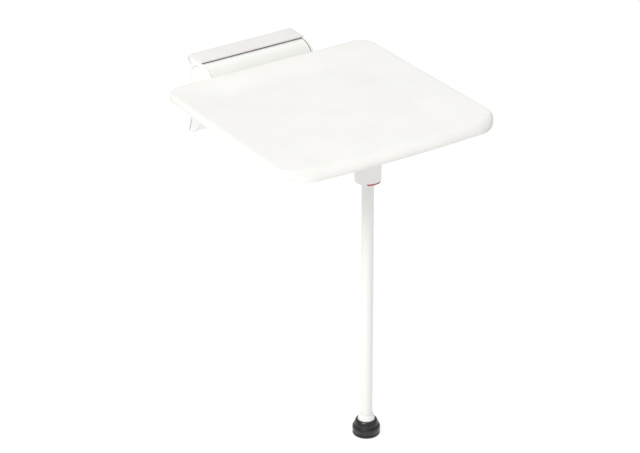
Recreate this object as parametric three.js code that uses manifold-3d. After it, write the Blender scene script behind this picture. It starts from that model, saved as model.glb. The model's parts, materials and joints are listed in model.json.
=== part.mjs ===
// A wall-mounted folding shower seat with a hinged floor leg.
//
// Millimetres, +Z up. The origin is the middle of the bracket's back face, on the wall plane Y = 0.
// The room is towards -Y, and +X is to the right of someone who faces the wall. The seat is down
// and the leg stands on the floor.

import * as THREE from 'three';
import { mergeVertices } from 'three/addons/utils/BufferGeometryUtils.js';
import Module from 'manifold-3d';

const wasm = await Module();
wasm.setup();

// ---------------------------------------------------------------- driving dimensions, mm

// Clearances
const GAP = 0.3;                  // between fixed pieces that lie on each other
const RUNNING_GAP = 0.6;          // around pieces that turn or slide
const SWING_GAP = 2.1;            // between the seat's carrier and the bracket as the seat folds

// Bracket on the wall
const BRACKET_WIDTH = 177;
const BRACKET_HEIGHT = 121.4;
const CHEEK_RADIUS = 29.4;        // round front of each cheek, about the hinge axis
const CHEEK_ROOT = 6.6;           // depth of the bracket behind that round
const CHEEK_WALL = 3.1;
const CHEEK_BOSS_DEPTH = 5.9;     // the boss round the axle stands this far in from the cheek
const CHEEK_BOSS_RADIUS = 20;
const CHEEK_FRONT_DROP = 18.4;    // upright front of the cheek below the hinge axis
const CHEEK_TOE_REACH = 18.4;     // where the slant of the cheek ends, off the wall
const CHEEK_TOE_RISE = 9.9;       // and above the bracket's lower end
const CHEEK_EDGE = 1.6;           // bevel around each cheek's outer face
const BARREL_STEP = 1.3;          // the barrel lies this far below the cheeks
const BARREL_END_GAP = 0.9;       // and this far from them at each end
const SHELL_WALL = 3;             // moulded walls inside the bracket
const COVER_THICKNESS = 2.7;
const COVER_SETBACK = 2.5;        // front edge of the top cover behind the hinge axis
const PEG_RADIUS = 2;
const PEG_LENGTH = 4;
const PEG_EDGE = 5;               // peg centres inside the cover's ends
const TOP_LIP = 2.5;              // least wall where the bracket's top meets the trough

// Steel plate behind the bracket
const PLATE_MARGIN_X = 13.5;      // the plate's edges inside the bracket's
const PLATE_MARGIN_Z = 15.7;
const PLATE_THICKNESS = 3;
const PLATE_CORNER = 8;
const PLATE_HOLE_RADIUS = 3.3;
const PLATE_HOLE_SINK = 2.2;      // countersink, wider than the hole by this much
const PLATE_HOLE_EDGE = 15;       // hole centres inside the plate's edges
const PLATE_ROOM = 1.2;           // room in front of the plate, behind the barrel
const SCREW_HEAD_SPACE = 6;       // and below the barrel, where the plate's lip is
const FIXING_SCREW_EDGE = 20;     // screw centres inside the plate's ends
const FIXING_SCREW_RADIUS = 2;
const FIXING_HEAD_RADIUS = 3.5;
const FIXING_HEAD_HEIGHT = 3;

// Hinge
const AXLE_RADIUS = 6;
const BUSH_WALL = 2.7;
const BUSH_FLANGE = 1.2;
const BUSH_FLANGE_RADIUS = 13;
const RING_THICKNESS = 1.2;
const RING_WALL = 4;
const RING_GROOVE = 0.9;
const RING_ROOM = 1.5;            // round the ring, in its pocket
const CAP_RADIUS = 23.8;
const CAP_THICKNESS = 1.2;
const CAP_REACH = 30.4;           // centre of the round cap off the wall
const HINGE_TUBE_WALL = 3.4;
const BARREL_WALL = 3.5;
const BARREL_HUB = 6;             // web at each end of the barrel
const FRICTION_DISC = 1.8;
const PAD_WIDTH = 14;
const PAD_EDGE = 23.5;            // middle of each rubber stop pad inside its cheek
const PAD_LEAN = 3;               // they reach this far in front of the trough's rim

// Seat
const SEAT_WIDTH = 354;
const SEAT_DEPTH = 343;
const SEAT_HEIGHT = 480;          // top of the seat above the floor
const SEAT_THICKNESS = 11.9;
const SEAT_OVER_HINGE = 6.8;      // underside of the seat above the hinge axis
const SEAT_CLEARANCE = 4.6;       // rear edge of the seat in front of the cheeks
const SEAT_TAPER = 5.4;           // each side is this much further in at the wall end
const FRONT_CORNER = 46;
const REAR_CORNER = 26;
const CREASE_X = 109;             // soft fold lines between the flat and the flanks
const FLANK_RISE = 5;
const REAR_RISE = 5.1;            // the level rear rim above the fold lines
const REAR_SWEEP = 60;            // length over which the seat sweeps up to it
const DISH = 1.6;
const FRONT_ROLL = 26;            // length over which the front edge rolls down
const FRONT_EDGE = 3;             // height of the front edge above the underside
const SEAT_EDGE = 4;              // rounding of the other edges
const SEAT_SKIN = 4;
const PAN_THICKNESS = 2.6;
const RIB_THICKNESS = 2.4;
const RIB_PITCH = 67;

// Steel carrier under the seat
const CARRIER_PLATE = 4;
const TONGUE_ROOT = 18.5;         // depth of the barrel's tongue below the hinge axis
const TONGUE_LENGTH = 54;         // screwed part of the tongue under the seat
const TONGUE_MARGIN = 13.4;       // the tongue's root inside the cheeks
const RAIL_ROOM = 11;             // between the socket's flange and each rail
const RAIL_WIDTH = 16;
const RAIL_HEIGHT = 10;
const RAIL_WALL = 1.5;
const RAIL_BOLT_RADIUS = 2.5;
const RAIL_BOLT_HEAD = 3.2;
const SOCKET_PLATE_DEPTH = 76;
const SEAT_SCREW_BESIDE = 6;      // seat screws outside the rails, and inside the carrier's edge
const SEAT_SCREW_RADIUS = 2;
const SEAT_SCREW_HEAD = 2.6;
const BOSS_RADIUS = 5;

// Socket for the leg
const LEG_SETBACK = 80.9;         // leg axis behind the seat's front edge
const SOCKET_RADIUS = 20.6;
const SOCKET_WALL = 3;
const SOCKET_DROP = 63.8;         // lower rim of the socket below the seat's underside
const SOCKET_FLANGE_WIDTH = 12.4; // the socket's flange outside its wall
const SOCKET_FLANGE = 4;
const SOCKET_SCREW_OUT = 6.4;     // its screws outside that wall
const MARK_HEIGHT = 2.2;
const MARK_HALF_ANGLE = THREE.MathUtils.degToRad(38);
const MARK_DEPTH = 1.8;
const PIVOT_RISE = 16.7;          // leg pivot above the socket's lower rim
const PIVOT_PIN_RADIUS = 4;

// Leg and foot
const TUBE_RADIUS = 8.75;
const TUBE_WALL = 1.5;
const TUBE_END_CLEARANCE = 16;    // lower end of the tube above the floor
const KNUCKLE_RADIUS = 8.4;
const KNUCKLE_WIDTH = 22;
const KNUCKLE_STEM = 26;
const SLEEVE_WALL = 1.15;         // thin sleeve round the tube, just below the socket
const SLEEVE_LENGTH = 6.3;
const CROSS_PIN_RADIUS = 2;
const INSERT_LENGTH = 30;
const SPINDLE_RADIUS = 4;
const SPINDLE_LENGTH = 52;
const FOOT_RADIUS = 19.9;
const FOOT_HEIGHT = 24.7;
const FOOT_MOUTH_RADIUS = 12.6;
const FOOT_SOLE = 6;
const FOOT_FLANGE_LOW = 5;        // the ridge round the foot, above the floor
const FOOT_FLANGE_HIGH = 13.6;
const CONE_HEIGHT = 8.3;          // white cone above the rubber
const CONE_TOP_RADIUS = 10.2;
const CONE_FLOOR = 5;             // floor of the cup inside the foot
const WASHER_THICKNESS = 1.2;

// ---------------------------------------------------------------- places worked out from them

const TOP_Z = BRACKET_HEIGHT / 2;
const BASE_Z = -BRACKET_HEIGHT / 2;
const HINGE_Y = -CHEEK_ROOT - CHEEK_RADIUS;
const CHEEK_TOP_Z = TOP_Z - COVER_THICKNESS - GAP;
const HINGE_Z = CHEEK_TOP_Z - CHEEK_RADIUS;
const BARREL_RADIUS = CHEEK_RADIUS - BARREL_STEP;
const CHEEK_OUTER = BRACKET_WIDTH / 2;
const CHEEK_INNER = CHEEK_OUTER - CHEEK_WALL;
const BOSS_FACE = CHEEK_INNER - CHEEK_BOSS_DEPTH;
const CHEEK_FRONT_Y = HINGE_Y - CHEEK_RADIUS;
const CHEEK_FRONT_Z = HINGE_Z - CHEEK_FRONT_DROP;
const BARREL_HALF = CHEEK_INNER - BARREL_END_GAP;
const HUB_FACE = BOSS_FACE - GAP - BUSH_FLANGE - GAP - FRICTION_DISC - GAP;
const PLATE_WIDTH = BRACKET_WIDTH - 2 * PLATE_MARGIN_X;
const PLATE_HEIGHT = BRACKET_HEIGHT - 2 * PLATE_MARGIN_Z;
const PLATE_HOLE_X = PLATE_WIDTH / 2 - PLATE_HOLE_EDGE;
const PLATE_HOLE_Z = PLATE_HEIGHT / 2 - PLATE_HOLE_EDGE;
const FIXING_SCREW_X = PLATE_WIDTH / 2 - FIXING_SCREW_EDGE;
const PLATE_RECESS = PLATE_THICKNESS + PLATE_ROOM;
const PLATE_POCKET = PLATE_THICKNESS + SCREW_HEAD_SPACE;
const PLATE_LIP = PLATE_POCKET - RUNNING_GAP;

const UNDERSIDE_Z = HINGE_Z + SEAT_OVER_HINGE;
const SEAT_TOP_Z = UNDERSIDE_Z + SEAT_THICKNESS;
const FLOOR_Z = SEAT_TOP_Z - SEAT_HEIGHT;
const SEAT_REAR_Y = CHEEK_FRONT_Y - SEAT_CLEARANCE;
const SEAT_FRONT_Y = SEAT_REAR_Y - SEAT_DEPTH;
const CARRIER_TOP_Z = UNDERSIDE_Z - DISH - GAP;
const CARRIER_LOW_Z = CARRIER_TOP_Z - CARRIER_PLATE;
const RAIL_TOP_Z = CARRIER_LOW_Z - GAP;
const RAIL_LOW_Z = RAIL_TOP_Z - RAIL_HEIGHT;
const TONGUE_REAR_Y = SEAT_REAR_Y - SWING_GAP;
const TONGUE_FRONT_Y = TONGUE_REAR_Y - TONGUE_LENGTH;
const TONGUE_HOLE_Y = TONGUE_REAR_Y - TONGUE_LENGTH * 0.7;

const SOCKET_FLANGE_RADIUS = SOCKET_RADIUS + SOCKET_FLANGE_WIDTH;
const SOCKET_SCREW_CIRCLE = SOCKET_RADIUS + SOCKET_SCREW_OUT;
const RAIL_X = SOCKET_FLANGE_RADIUS + RAIL_ROOM + RAIL_WIDTH / 2;
const SEAT_SCREW_X = RAIL_X + RAIL_WIDTH / 2 + SEAT_SCREW_BESIDE;
const CARRIER_WIDTH = 2 * (SEAT_SCREW_X + SEAT_SCREW_BESIDE);

const LEG_Y = SEAT_FRONT_Y + LEG_SETBACK;
const RIM_Z = UNDERSIDE_Z - SOCKET_DROP;
const PIVOT_Z = RIM_Z + PIVOT_RISE;
const BORE_RADIUS = SOCKET_RADIUS - SOCKET_WALL;
const SLEEVE_RADIUS = TUBE_RADIUS + GAP + SLEEVE_WALL;
const SLOT_HALF = SLEEVE_RADIUS + RUNNING_GAP;
const TUBE_BORE = TUBE_RADIUS - TUBE_WALL;
const TUBE_TOP_Z = PIVOT_Z - KNUCKLE_RADIUS - GAP;
const TUBE_LOW_Z = FLOOR_Z + TUBE_END_CLEARANCE;
const STEM_LOW_Z = TUBE_TOP_Z - KNUCKLE_STEM;
const CROSS_PIN_Z = TUBE_TOP_Z - KNUCKLE_STEM / 2;
const FOOT_TOP_Z = FLOOR_Z + FOOT_HEIGHT;
const CUP_RADIUS = FOOT_MOUTH_RADIUS - GAP;

const SEAT_SCREW_ROWS = [
  TONGUE_HOLE_Y,
  LEG_Y + SOCKET_PLATE_DEPTH * 0.34,
  LEG_Y - SOCKET_PLATE_DEPTH * 0.34,
];
const RAIL_BOLT_ROWS = [TONGUE_HOLE_Y, LEG_Y];
const SIDES = [['left', -1], ['right', 1]];

// ---------------------------------------------------------------- finishes

const WHITE_PLASTIC = { color: 0xf2f1ec, roughness: 0.38, metalness: 0 };
const COVER_PLASTIC = { color: 0xdcd8d4, roughness: 0.45, metalness: 0 };
const GREY_NYLON = { color: 0x8d9094, roughness: 0.55, metalness: 0 };
const BLACK_RUBBER = { color: 0x2a2a2b, roughness: 0.75, metalness: 0 };
const RED_PLASTIC = { color: 0xb83a35, roughness: 0.4, metalness: 0 };
const BRUSHED_STEEL = { color: 0xb9bcc0, roughness: 0.32, metalness: 1 };
const PLATED_STEEL = { color: 0x9fa3a8, roughness: 0.28, metalness: 1 };
const COATED_METAL = { color: 0xf0efeb, roughness: 0.3, metalness: 0.05 };

// ---------------------------------------------------------------- solids

// A closed solid from a geometry: shared corners are merged, empty triangles dropped and
// the faces turned outwards.
function solid(geometry) {
  const bare = geometry.clone();
  bare.deleteAttribute('normal');
  bare.deleteAttribute('uv');
  const merged = mergeVertices(bare, 1e-4);
  const corners = merged.attributes.position;
  const a = new THREE.Vector3();
  const b = new THREE.Vector3();
  const c = new THREE.Vector3();
  const faces = [];
  let volume = 0;
  for (let i = 0; i < merged.index.count; i += 3) {
    const [p, q, r] = [0, 1, 2].map((k) => merged.index.getX(i + k));
    if (p === q || q === r || r === p) continue;
    a.fromBufferAttribute(corners, p);
    b.fromBufferAttribute(corners, q);
    c.fromBufferAttribute(corners, r);
    volume += a.dot(b.cross(c));
    faces.push([p, q, r]);
  }
  const outward = faces.map((face) => (volume < 0 ? [face[0], face[2], face[1]] : face));
  const mesh = new wasm.Mesh({
    numProp: 3,
    vertProperties: new Float32Array(corners.array),
    triVerts: new Uint32Array(outward.flat()),
  });
  return new wasm.Manifold(mesh);
}

const join = (first, ...others) => others.reduce((body, other) => body.add(other), first);
const cut = (first, ...tools) => tools.reduce((body, tool) => body.subtract(tool), first);
const overlap = (first, ...others) => others.reduce((body, other) => body.intersect(other), first);

// A shape carried straight along an axis between two places on it. It is drawn in (y, z) for the
// x axis, (x, z) for the y axis and (x, y) for the z axis.
function prism(axis, shape, from, to, curveSegments = 6) {
  const depth = to - from;
  const geometry = new THREE.ExtrudeGeometry(shape, { depth, bevelEnabled: false, curveSegments });
  if (axis === 'x') {
    geometry.applyMatrix4(new THREE.Matrix4().set(0, 0, 1, from, 1, 0, 0, 0, 0, 1, 0, 0, 0, 0, 0, 1));
  }
  if (axis === 'y') geometry.rotateX(Math.PI / 2).translate(0, to, 0);
  if (axis === 'z') geometry.translate(0, 0, from);
  return solid(geometry);
}

// A profile of [radius, place along the axis] pairs turned round an axis through a centre. A lathe
// turns about y, so only the other two axes need the result turned.
function turned(axis, profile, segments = 32, centre = [0, 0, 0]) {
  const points = profile.map(([radius, along]) => new THREE.Vector2(radius, along));
  const geometry = new THREE.LatheGeometry(points, segments);
  if (axis === 'x') {
    geometry.applyMatrix4(new THREE.Matrix4().set(0, 1, 0, 0, 0, 0, 1, 0, 1, 0, 0, 0, 0, 0, 0, 1));
  }
  if (axis === 'z') geometry.rotateX(Math.PI / 2);
  return solid(geometry.translate(...centre));
}

// A plain round bar along an axis.
const bar = (axis, radius, from, to, centre, segments = 20) =>
  turned(axis, [[0, from], [radius, from], [radius, to], [0, to]], segments, centre);

// A round bar with a bore along its axis.
const pipe = (axis, outer, inner, from, to, centre, segments = 24) =>
  turned(axis, [[inner, from], [outer, from], [outer, to], [inner, to], [inner, from]], segments, centre);

function block([x0, x1], [y0, y1], [z0, z1]) {
  const geometry = new THREE.BoxGeometry(x1 - x0, y1 - y0, z1 - z0);
  return solid(geometry.translate((x0 + x1) / 2, (y0 + y1) / 2, (z0 + z1) / 2));
}

// A polygon with a round at each corner: corners are [a, b, radius], given anticlockwise.
function roundedShape(corners) {
  const shape = new THREE.Shape();
  corners.forEach(([a, b, radius], i) => {
    const corner = new THREE.Vector2(a, b);
    const before = new THREE.Vector2(...corners.at(i - 1)).sub(corner).normalize();
    const after = new THREE.Vector2(...corners[(i + 1) % corners.length]).sub(corner).normalize();
    const half = Math.acos(THREE.MathUtils.clamp(before.dot(after), -1, 1)) / 2;
    const start = corner.clone().addScaledVector(before, radius / Math.tan(half));
    const end = corner.clone().addScaledVector(after, radius / Math.tan(half));
    if (i === 0) shape.moveTo(start.x, start.y);
    else shape.lineTo(start.x, start.y);
    if (radius === 0) return;
    const middle = before.clone().add(after).normalize();
    const centre = corner.clone().addScaledVector(middle, radius / Math.sin(half));
    const from = start.sub(centre).angle();
    const to = end.sub(centre).angle();
    shape.absarc(centre.x, centre.y, radius, from, to, before.cross(after) > 0);
  });
  shape.closePath();
  return shape;
}

const roundedRectangle = (width, height, radius) => roundedShape([
  [-width / 2, -height / 2, radius],
  [width / 2, -height / 2, radius],
  [width / 2, height / 2, radius],
  [-width / 2, height / 2, radius],
]);

function regularPolygon(sides, acrossFlats) {
  const radius = acrossFlats / 2 / Math.cos(Math.PI / sides);
  const points = Array.from({ length: sides }, (_, i) => {
    const angle = (2 * Math.PI * (i + 0.5)) / sides;
    return new THREE.Vector2(radius * Math.cos(angle), radius * Math.sin(angle));
  });
  return new THREE.Shape(points);
}

// A screw that points up, with its head below, a hexagon socket in the head and its head's upper
// face at z = 0.
function socketScrew(shankRadius, length, headRadius, headHeight) {
  const body = turned('z', [
    [0, -headHeight],
    [headRadius * 0.9, -headHeight],
    [headRadius, -headHeight * 0.75],
    [headRadius, 0],
    [shankRadius, 0],
    [shankRadius, length],
    [0, length],
  ], 12);
  const socket = prism('z', regularPolygon(6, headRadius), -headHeight - 1, -headHeight * 0.4);
  return cut(body, socket);
}

// A named mesh of its own material, in a group, moved to a place.
function addPart(group, name, body, finish, place = [0, 0, 0]) {
  const { vertProperties, triVerts } = body.getMesh();
  const geometry = new THREE.BufferGeometry();
  geometry.setAttribute('position', new THREE.BufferAttribute(new Float32Array(vertProperties), 3));
  geometry.setIndex(new THREE.BufferAttribute(new Uint32Array(triVerts), 1));
  geometry.computeVertexNormals();
  const mesh = new THREE.Mesh(geometry, new THREE.MeshStandardMaterial(finish));
  mesh.name = name;
  mesh.position.set(...place);
  group.add(mesh);
}

// ---------------------------------------------------------------- bracket on the wall

// Side view of a cheek, in (y, z): flat top under the cover, round about the hinge, upright front,
// straight slant and a rounded toe back to the wall. inset draws it smaller all round.
function cheekProfile(inset = 0) {
  const radius = CHEEK_RADIUS - inset;
  const shape = new THREE.Shape();
  shape.moveTo(0, CHEEK_TOP_Z - inset);
  shape.lineTo(HINGE_Y, CHEEK_TOP_Z - inset);
  shape.absarc(HINGE_Y, HINGE_Z, radius, Math.PI / 2, Math.PI, false);
  shape.lineTo(CHEEK_FRONT_Y + inset, CHEEK_FRONT_Z + inset / 2);
  shape.lineTo(-CHEEK_TOE_REACH + inset, BASE_Z + CHEEK_TOE_RISE + inset);
  shape.quadraticCurveTo(-CHEEK_TOE_REACH * 0.6, BASE_Z + inset, 0, BASE_Z + inset);
  shape.closePath();
  return shape;
}

// A point of the slanted front, given by its distance down the slant and in from it.
function slantPoint(along, inwards) {
  const start = new THREE.Vector2(CHEEK_FRONT_Y, CHEEK_FRONT_Z);
  const end = new THREE.Vector2(-CHEEK_TOE_REACH, BASE_Z + CHEEK_TOE_RISE);
  const down = end.sub(start).normalize();
  const inward = new THREE.Vector2(-down.y, down.x);
  return start.addScaledVector(down, along).addScaledVector(inward, inwards);
}

const slantLength = () => slantPoint(0, 0).distanceTo(
  new THREE.Vector2(-CHEEK_TOE_REACH, BASE_Z + CHEEK_TOE_RISE));

const SHOULDER_START = 6;         // the open front ends this far down the slant
const LOWER_COVER_START = 13;     // and the lower cover begins here
const LOWER_COVER_END_MARGIN = 13;
const SHOULDER_Z = slantPoint(SHOULDER_START, 0).y;
const TROUGH_RADIUS = BARREL_RADIUS + RUNNING_GAP;
const TROUGH_END_Y = HINGE_Y + Math.sqrt(TROUGH_RADIUS ** 2 - (CHEEK_RADIUS - TOP_LIP) ** 2);
const COVER_FRONT_Y = HINGE_Y + COVER_SETBACK;
const FIXING_SCREW_Y = -(PLATE_THICKNESS + FIXING_SCREW_RADIUS + 2 * GAP);
const FIXING_HEAD_Z = BASE_Z + 2 + FIXING_HEAD_HEIGHT;
const PEG_PLACES = SIDES.map(([, side]) => [side * (CHEEK_OUTER - PEG_EDGE), HINGE_Y / 3]);
const HINGE_CENTRE = [0, HINGE_Y, HINGE_Z];
const AXLE_END = CHEEK_OUTER - CAP_THICKNESS - 2 * GAP;
const RING_OUT = AXLE_END - GAP;
const RING_IN = RING_OUT - RING_THICKNESS;

// The area of the slanted front that the lower cover closes, as a (y, z) polygon.
function lowerCoverShape(margin, inner, outer) {
  const first = LOWER_COVER_START + margin;
  const last = slantLength() - LOWER_COVER_END_MARGIN - margin;
  const points = [slantPoint(first, outer), slantPoint(last, outer), slantPoint(last, inner),
    slantPoint(first, inner)];
  return new THREE.Shape(points);
}

// A bar along the hinge axis on one side, between two distances from the middle.
function sideBar(side, radius, near, far, segments) {
  const [from, to] = [side * near, side * far].sort((p, q) => p - q);
  return bar('x', radius, from, to, HINGE_CENTRE, segments);
}

function bracketBody() {
  const outer = prism('x', cheekProfile(CHEEK_EDGE), -CHEEK_OUTER, CHEEK_OUTER, 8);
  const middle = prism('x', cheekProfile(), -CHEEK_OUTER + CHEEK_EDGE, CHEEK_OUTER - CHEEK_EDGE, 8);
  const between = [-CHEEK_INNER, CHEEK_INNER];
  const trough = bar('x', TROUGH_RADIUS, ...between, HINGE_CENTRE, 48);
  const openFront = block(between, [CHEEK_FRONT_Y - 1, HINGE_Y], [SHOULDER_Z, TOP_Z + 1]);
  const openTop = block(between, [HINGE_Y - 1, TROUGH_END_Y], [HINGE_Z, TOP_Z + 1]);
  const plateWidth = [-PLATE_WIDTH / 2 - RUNNING_GAP, PLATE_WIDTH / 2 + RUNNING_GAP];
  const plateHalf = PLATE_HEIGHT / 2 + RUNNING_GAP;
  const recess = block(plateWidth, [-PLATE_RECESS, 1], [-plateHalf, plateHalf]);
  const pocketTopZ = HINGE_Z - TROUGH_RADIUS - SHELL_WALL;
  const pocket = block(plateWidth, [-PLATE_POCKET, 1], [-plateHalf, pocketTopZ]);
  const cavityEnd = slantLength() - LOWER_COVER_END_MARGIN;
  const cavityRearY = -PLATE_POCKET - SHELL_WALL;
  const cavityShape = new THREE.Shape([
    new THREE.Vector2(cavityRearY, HINGE_Z - TROUGH_RADIUS),
    slantPoint(LOWER_COVER_START, SHELL_WALL),
    slantPoint(LOWER_COVER_START, -1),
    slantPoint(cavityEnd, -1),
    new THREE.Vector2(cavityRearY, slantPoint(cavityEnd, 0).y),
  ]);
  const keptTrough = bar('x', TROUGH_RADIUS + SHELL_WALL, -CHEEK_OUTER, CHEEK_OUTER, HINGE_CENTRE, 48);
  const cavity = cut(prism('x', cavityShape, ...between), keptTrough);
  const capPockets = SIDES.map(([, side]) => capDisc(side, CAP_RADIUS + GAP, CAP_THICKNESS + GAP, -1));
  const ringPockets = SIDES.map(([, side]) =>
    sideBar(side, AXLE_RADIUS + RING_WALL + RING_ROOM, RING_IN - GAP, CHEEK_OUTER, 24));
  const bosses = SIDES.map(([, side]) =>
    sideBar(side, CHEEK_BOSS_RADIUS, BOSS_FACE, CHEEK_OUTER - CHEEK_WALL / 2, 40));
  const boreRadius = AXLE_RADIUS + GAP + BUSH_WALL + GAP;
  const axleBore = bar('x', boreRadius, -CHEEK_OUTER, CHEEK_OUTER, HINGE_CENTRE, 24);
  const pegHoles = PEG_PLACES.map(([x, y]) =>
    bar('z', PEG_RADIUS + GAP, CHEEK_TOP_Z - PEG_LENGTH - GAP, TOP_Z, [x, y, 0], 12));
  const screwHoles = SIDES.map(([, side]) => {
    const centre = [side * FIXING_SCREW_X, FIXING_SCREW_Y, 0];
    return join(
      bar('z', FIXING_SCREW_RADIUS + GAP, BASE_Z, 0, centre, 12),
      bar('z', FIXING_HEAD_RADIUS + GAP, BASE_Z - 1, FIXING_HEAD_Z + GAP, centre, 12),
    );
  });
  const shell = cut(join(outer, middle), trough, openFront, openTop, recess, pocket, cavity);
  return cut(join(shell, ...bosses), ...capPockets, ...ringPockets, axleBore, ...pegHoles, ...screwHoles);
}

// A disc in the outer face of a cheek, from a depth below the face out to another one.
function capDisc(side, radius, deep, shallow) {
  const [a, b] = [side * (CHEEK_OUTER - deep), side * (CHEEK_OUTER - shallow)].sort((p, q) => p - q);
  return bar('x', radius, a, b, [0, -CAP_REACH, HINGE_Z], 36);
}

function topCover() {
  const half = CHEEK_OUTER;
  const under = TOP_Z - COVER_THICKNESS;
  const section = roundedShape([
    [-half, under, 0],
    [half, under, 0],
    [half, TOP_Z, COVER_THICKNESS * 0.9],
    [-half, TOP_Z, COVER_THICKNESS * 0.9],
  ]);
  const plate = prism('y', section, COVER_FRONT_Y, 0, 4);
  const pegs = PEG_PLACES.map(([x, y]) =>
    bar('z', PEG_RADIUS, CHEEK_TOP_Z - PEG_LENGTH, under + COVER_THICKNESS / 2, [x, y, 0], 12));
  return join(plate, ...pegs);
}

function wallPlate() {
  const outline = roundedRectangle(PLATE_WIDTH, PLATE_HEIGHT, PLATE_CORNER);
  const plate = prism('y', outline, -PLATE_THICKNESS, 0, 3);
  const lip = block(
    [-FIXING_SCREW_X - FIXING_SCREW_EDGE / 2, FIXING_SCREW_X + FIXING_SCREW_EDGE / 2],
    [-PLATE_LIP, -PLATE_THICKNESS / 2],
    [-PLATE_HEIGHT / 2, -PLATE_HEIGHT / 2 + PLATE_THICKNESS],
  );
  const holeProfile = [
    [0, -PLATE_THICKNESS - 1],
    [PLATE_HOLE_RADIUS + PLATE_HOLE_SINK + 1, -PLATE_THICKNESS - 1],
    [PLATE_HOLE_RADIUS, -PLATE_THICKNESS + PLATE_HOLE_SINK],
    [PLATE_HOLE_RADIUS, 1],
    [0, 1],
  ];
  const holes = SIDES.flatMap(([, a]) => SIDES.map(([, b]) =>
    turned('y', holeProfile, 20, [a * PLATE_HOLE_X, 0, b * PLATE_HOLE_Z])));
  const lowZ = -PLATE_HEIGHT / 2;
  const screwHoles = SIDES.map(([, side]) =>
    bar('z', FIXING_SCREW_RADIUS + GAP, lowZ - 1, lowZ + PLATE_THICKNESS + 1,
      [side * FIXING_SCREW_X, FIXING_SCREW_Y, 0], 12));
  return cut(join(plate, lip), ...holes, ...screwHoles);
}

const lowerCover = () => cut(
  prism('x', lowerCoverShape(GAP, SHELL_WALL - GAP, 0), -CHEEK_INNER + GAP, CHEEK_INNER - GAP),
  bar('x', TROUGH_RADIUS + SHELL_WALL + GAP, -CHEEK_OUTER, CHEEK_OUTER, HINGE_CENTRE, 48),
);

// The rubber pad that the seat's tongue comes down on: it stands on the front rim of the trough and
// leans forward round the barrel.
function stopPad(side) {
  const rim = slantPoint(SHOULDER_START, 0);
  const rear = HINGE_Y - Math.sqrt(TROUGH_RADIUS ** 2 - (HINGE_Z - SHOULDER_Z) ** 2);
  const middle = side * (CHEEK_INNER - PAD_EDGE);
  const standing = block([middle - PAD_WIDTH / 2, middle + PAD_WIDTH / 2],
    [rim.x - PAD_LEAN, rear], [SHOULDER_Z + GAP, HINGE_Z - TONGUE_ROOT - GAP]);
  return cut(standing, bar('x', TROUGH_RADIUS, -CHEEK_INNER, CHEEK_INNER, HINGE_CENTRE, 48));
}

// A bush in a cheek: a sleeve with a flange towards the barrel.
function axleBush(side) {
  const bore = AXLE_RADIUS + GAP;
  const flangeFace = BOSS_FACE - GAP - BUSH_FLANGE;
  const end = RING_IN - 2 * GAP;
  const profile = [
    [bore, flangeFace],
    [BUSH_FLANGE_RADIUS, flangeFace],
    [BUSH_FLANGE_RADIUS, flangeFace + BUSH_FLANGE],
    [bore + BUSH_WALL, flangeFace + BUSH_FLANGE],
    [bore + BUSH_WALL, end],
    [bore, end],
    [bore, flangeFace],
  ].map(([radius, x]) => [radius, side * x]);
  return turned('x', profile, 24, HINGE_CENTRE);
}

// A washer on the hinge axis on one side, between two distances from the middle.
function sidePipe(side, outer, inner, near, far) {
  const [from, to] = [side * near, side * far].sort((p, q) => p - q);
  return pipe('x', outer, inner, from, to, HINGE_CENTRE);
}

function hingeAxle() {
  const grooves = SIDES.map(([, side]) =>
    sidePipe(side, AXLE_RADIUS + 1, AXLE_RADIUS - RING_GROOVE, RING_IN - GAP / 2, RING_OUT + GAP / 2));
  return cut(bar('x', AXLE_RADIUS, -AXLE_END, AXLE_END, HINGE_CENTRE, 24), ...grooves);
}

function retainingRing(side) {
  const grooveRadius = AXLE_RADIUS - RING_GROOVE;
  return sidePipe(side, grooveRadius + RING_WALL, grooveRadius + GAP / 2, RING_IN, RING_OUT);
}

function buildBracket() {
  const bracket = new THREE.Group();
  addPart(bracket, 'wall_plate', wallPlate(), BRUSHED_STEEL);
  addPart(bracket, 'bracket_body', bracketBody(), WHITE_PLASTIC);
  addPart(bracket, 'top_cover', topCover(), COVER_PLASTIC);
  addPart(bracket, 'lower_cover', lowerCover(), WHITE_PLASTIC);
  addPart(bracket, 'hinge_axle', hingeAxle(), PLATED_STEEL);
  for (const [name, side] of SIDES) {
    addPart(bracket, `${name}_hinge_cap`, capDisc(side, CAP_RADIUS, CAP_THICKNESS, 0), WHITE_PLASTIC);
    addPart(bracket, `${name}_axle_bush`, axleBush(side), GREY_NYLON);
    addPart(bracket, `${name}_retaining_ring`, retainingRing(side), PLATED_STEEL);
    addPart(bracket, `${name}_stop_pad`, stopPad(side), BLACK_RUBBER);
    addPart(bracket, `${name}_fixing_screw`,
      socketScrew(FIXING_SCREW_RADIUS, -PLATE_HEIGHT / 2 + PLATE_THICKNESS + 2 - FIXING_HEAD_Z,
        FIXING_HEAD_RADIUS, FIXING_HEAD_HEIGHT),
      PLATED_STEEL, [side * FIXING_SCREW_X, FIXING_SCREW_Y, FIXING_HEAD_Z]);
  }
  return bracket;
}

// ---------------------------------------------------------------- hinge barrel and steel carrier

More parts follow.
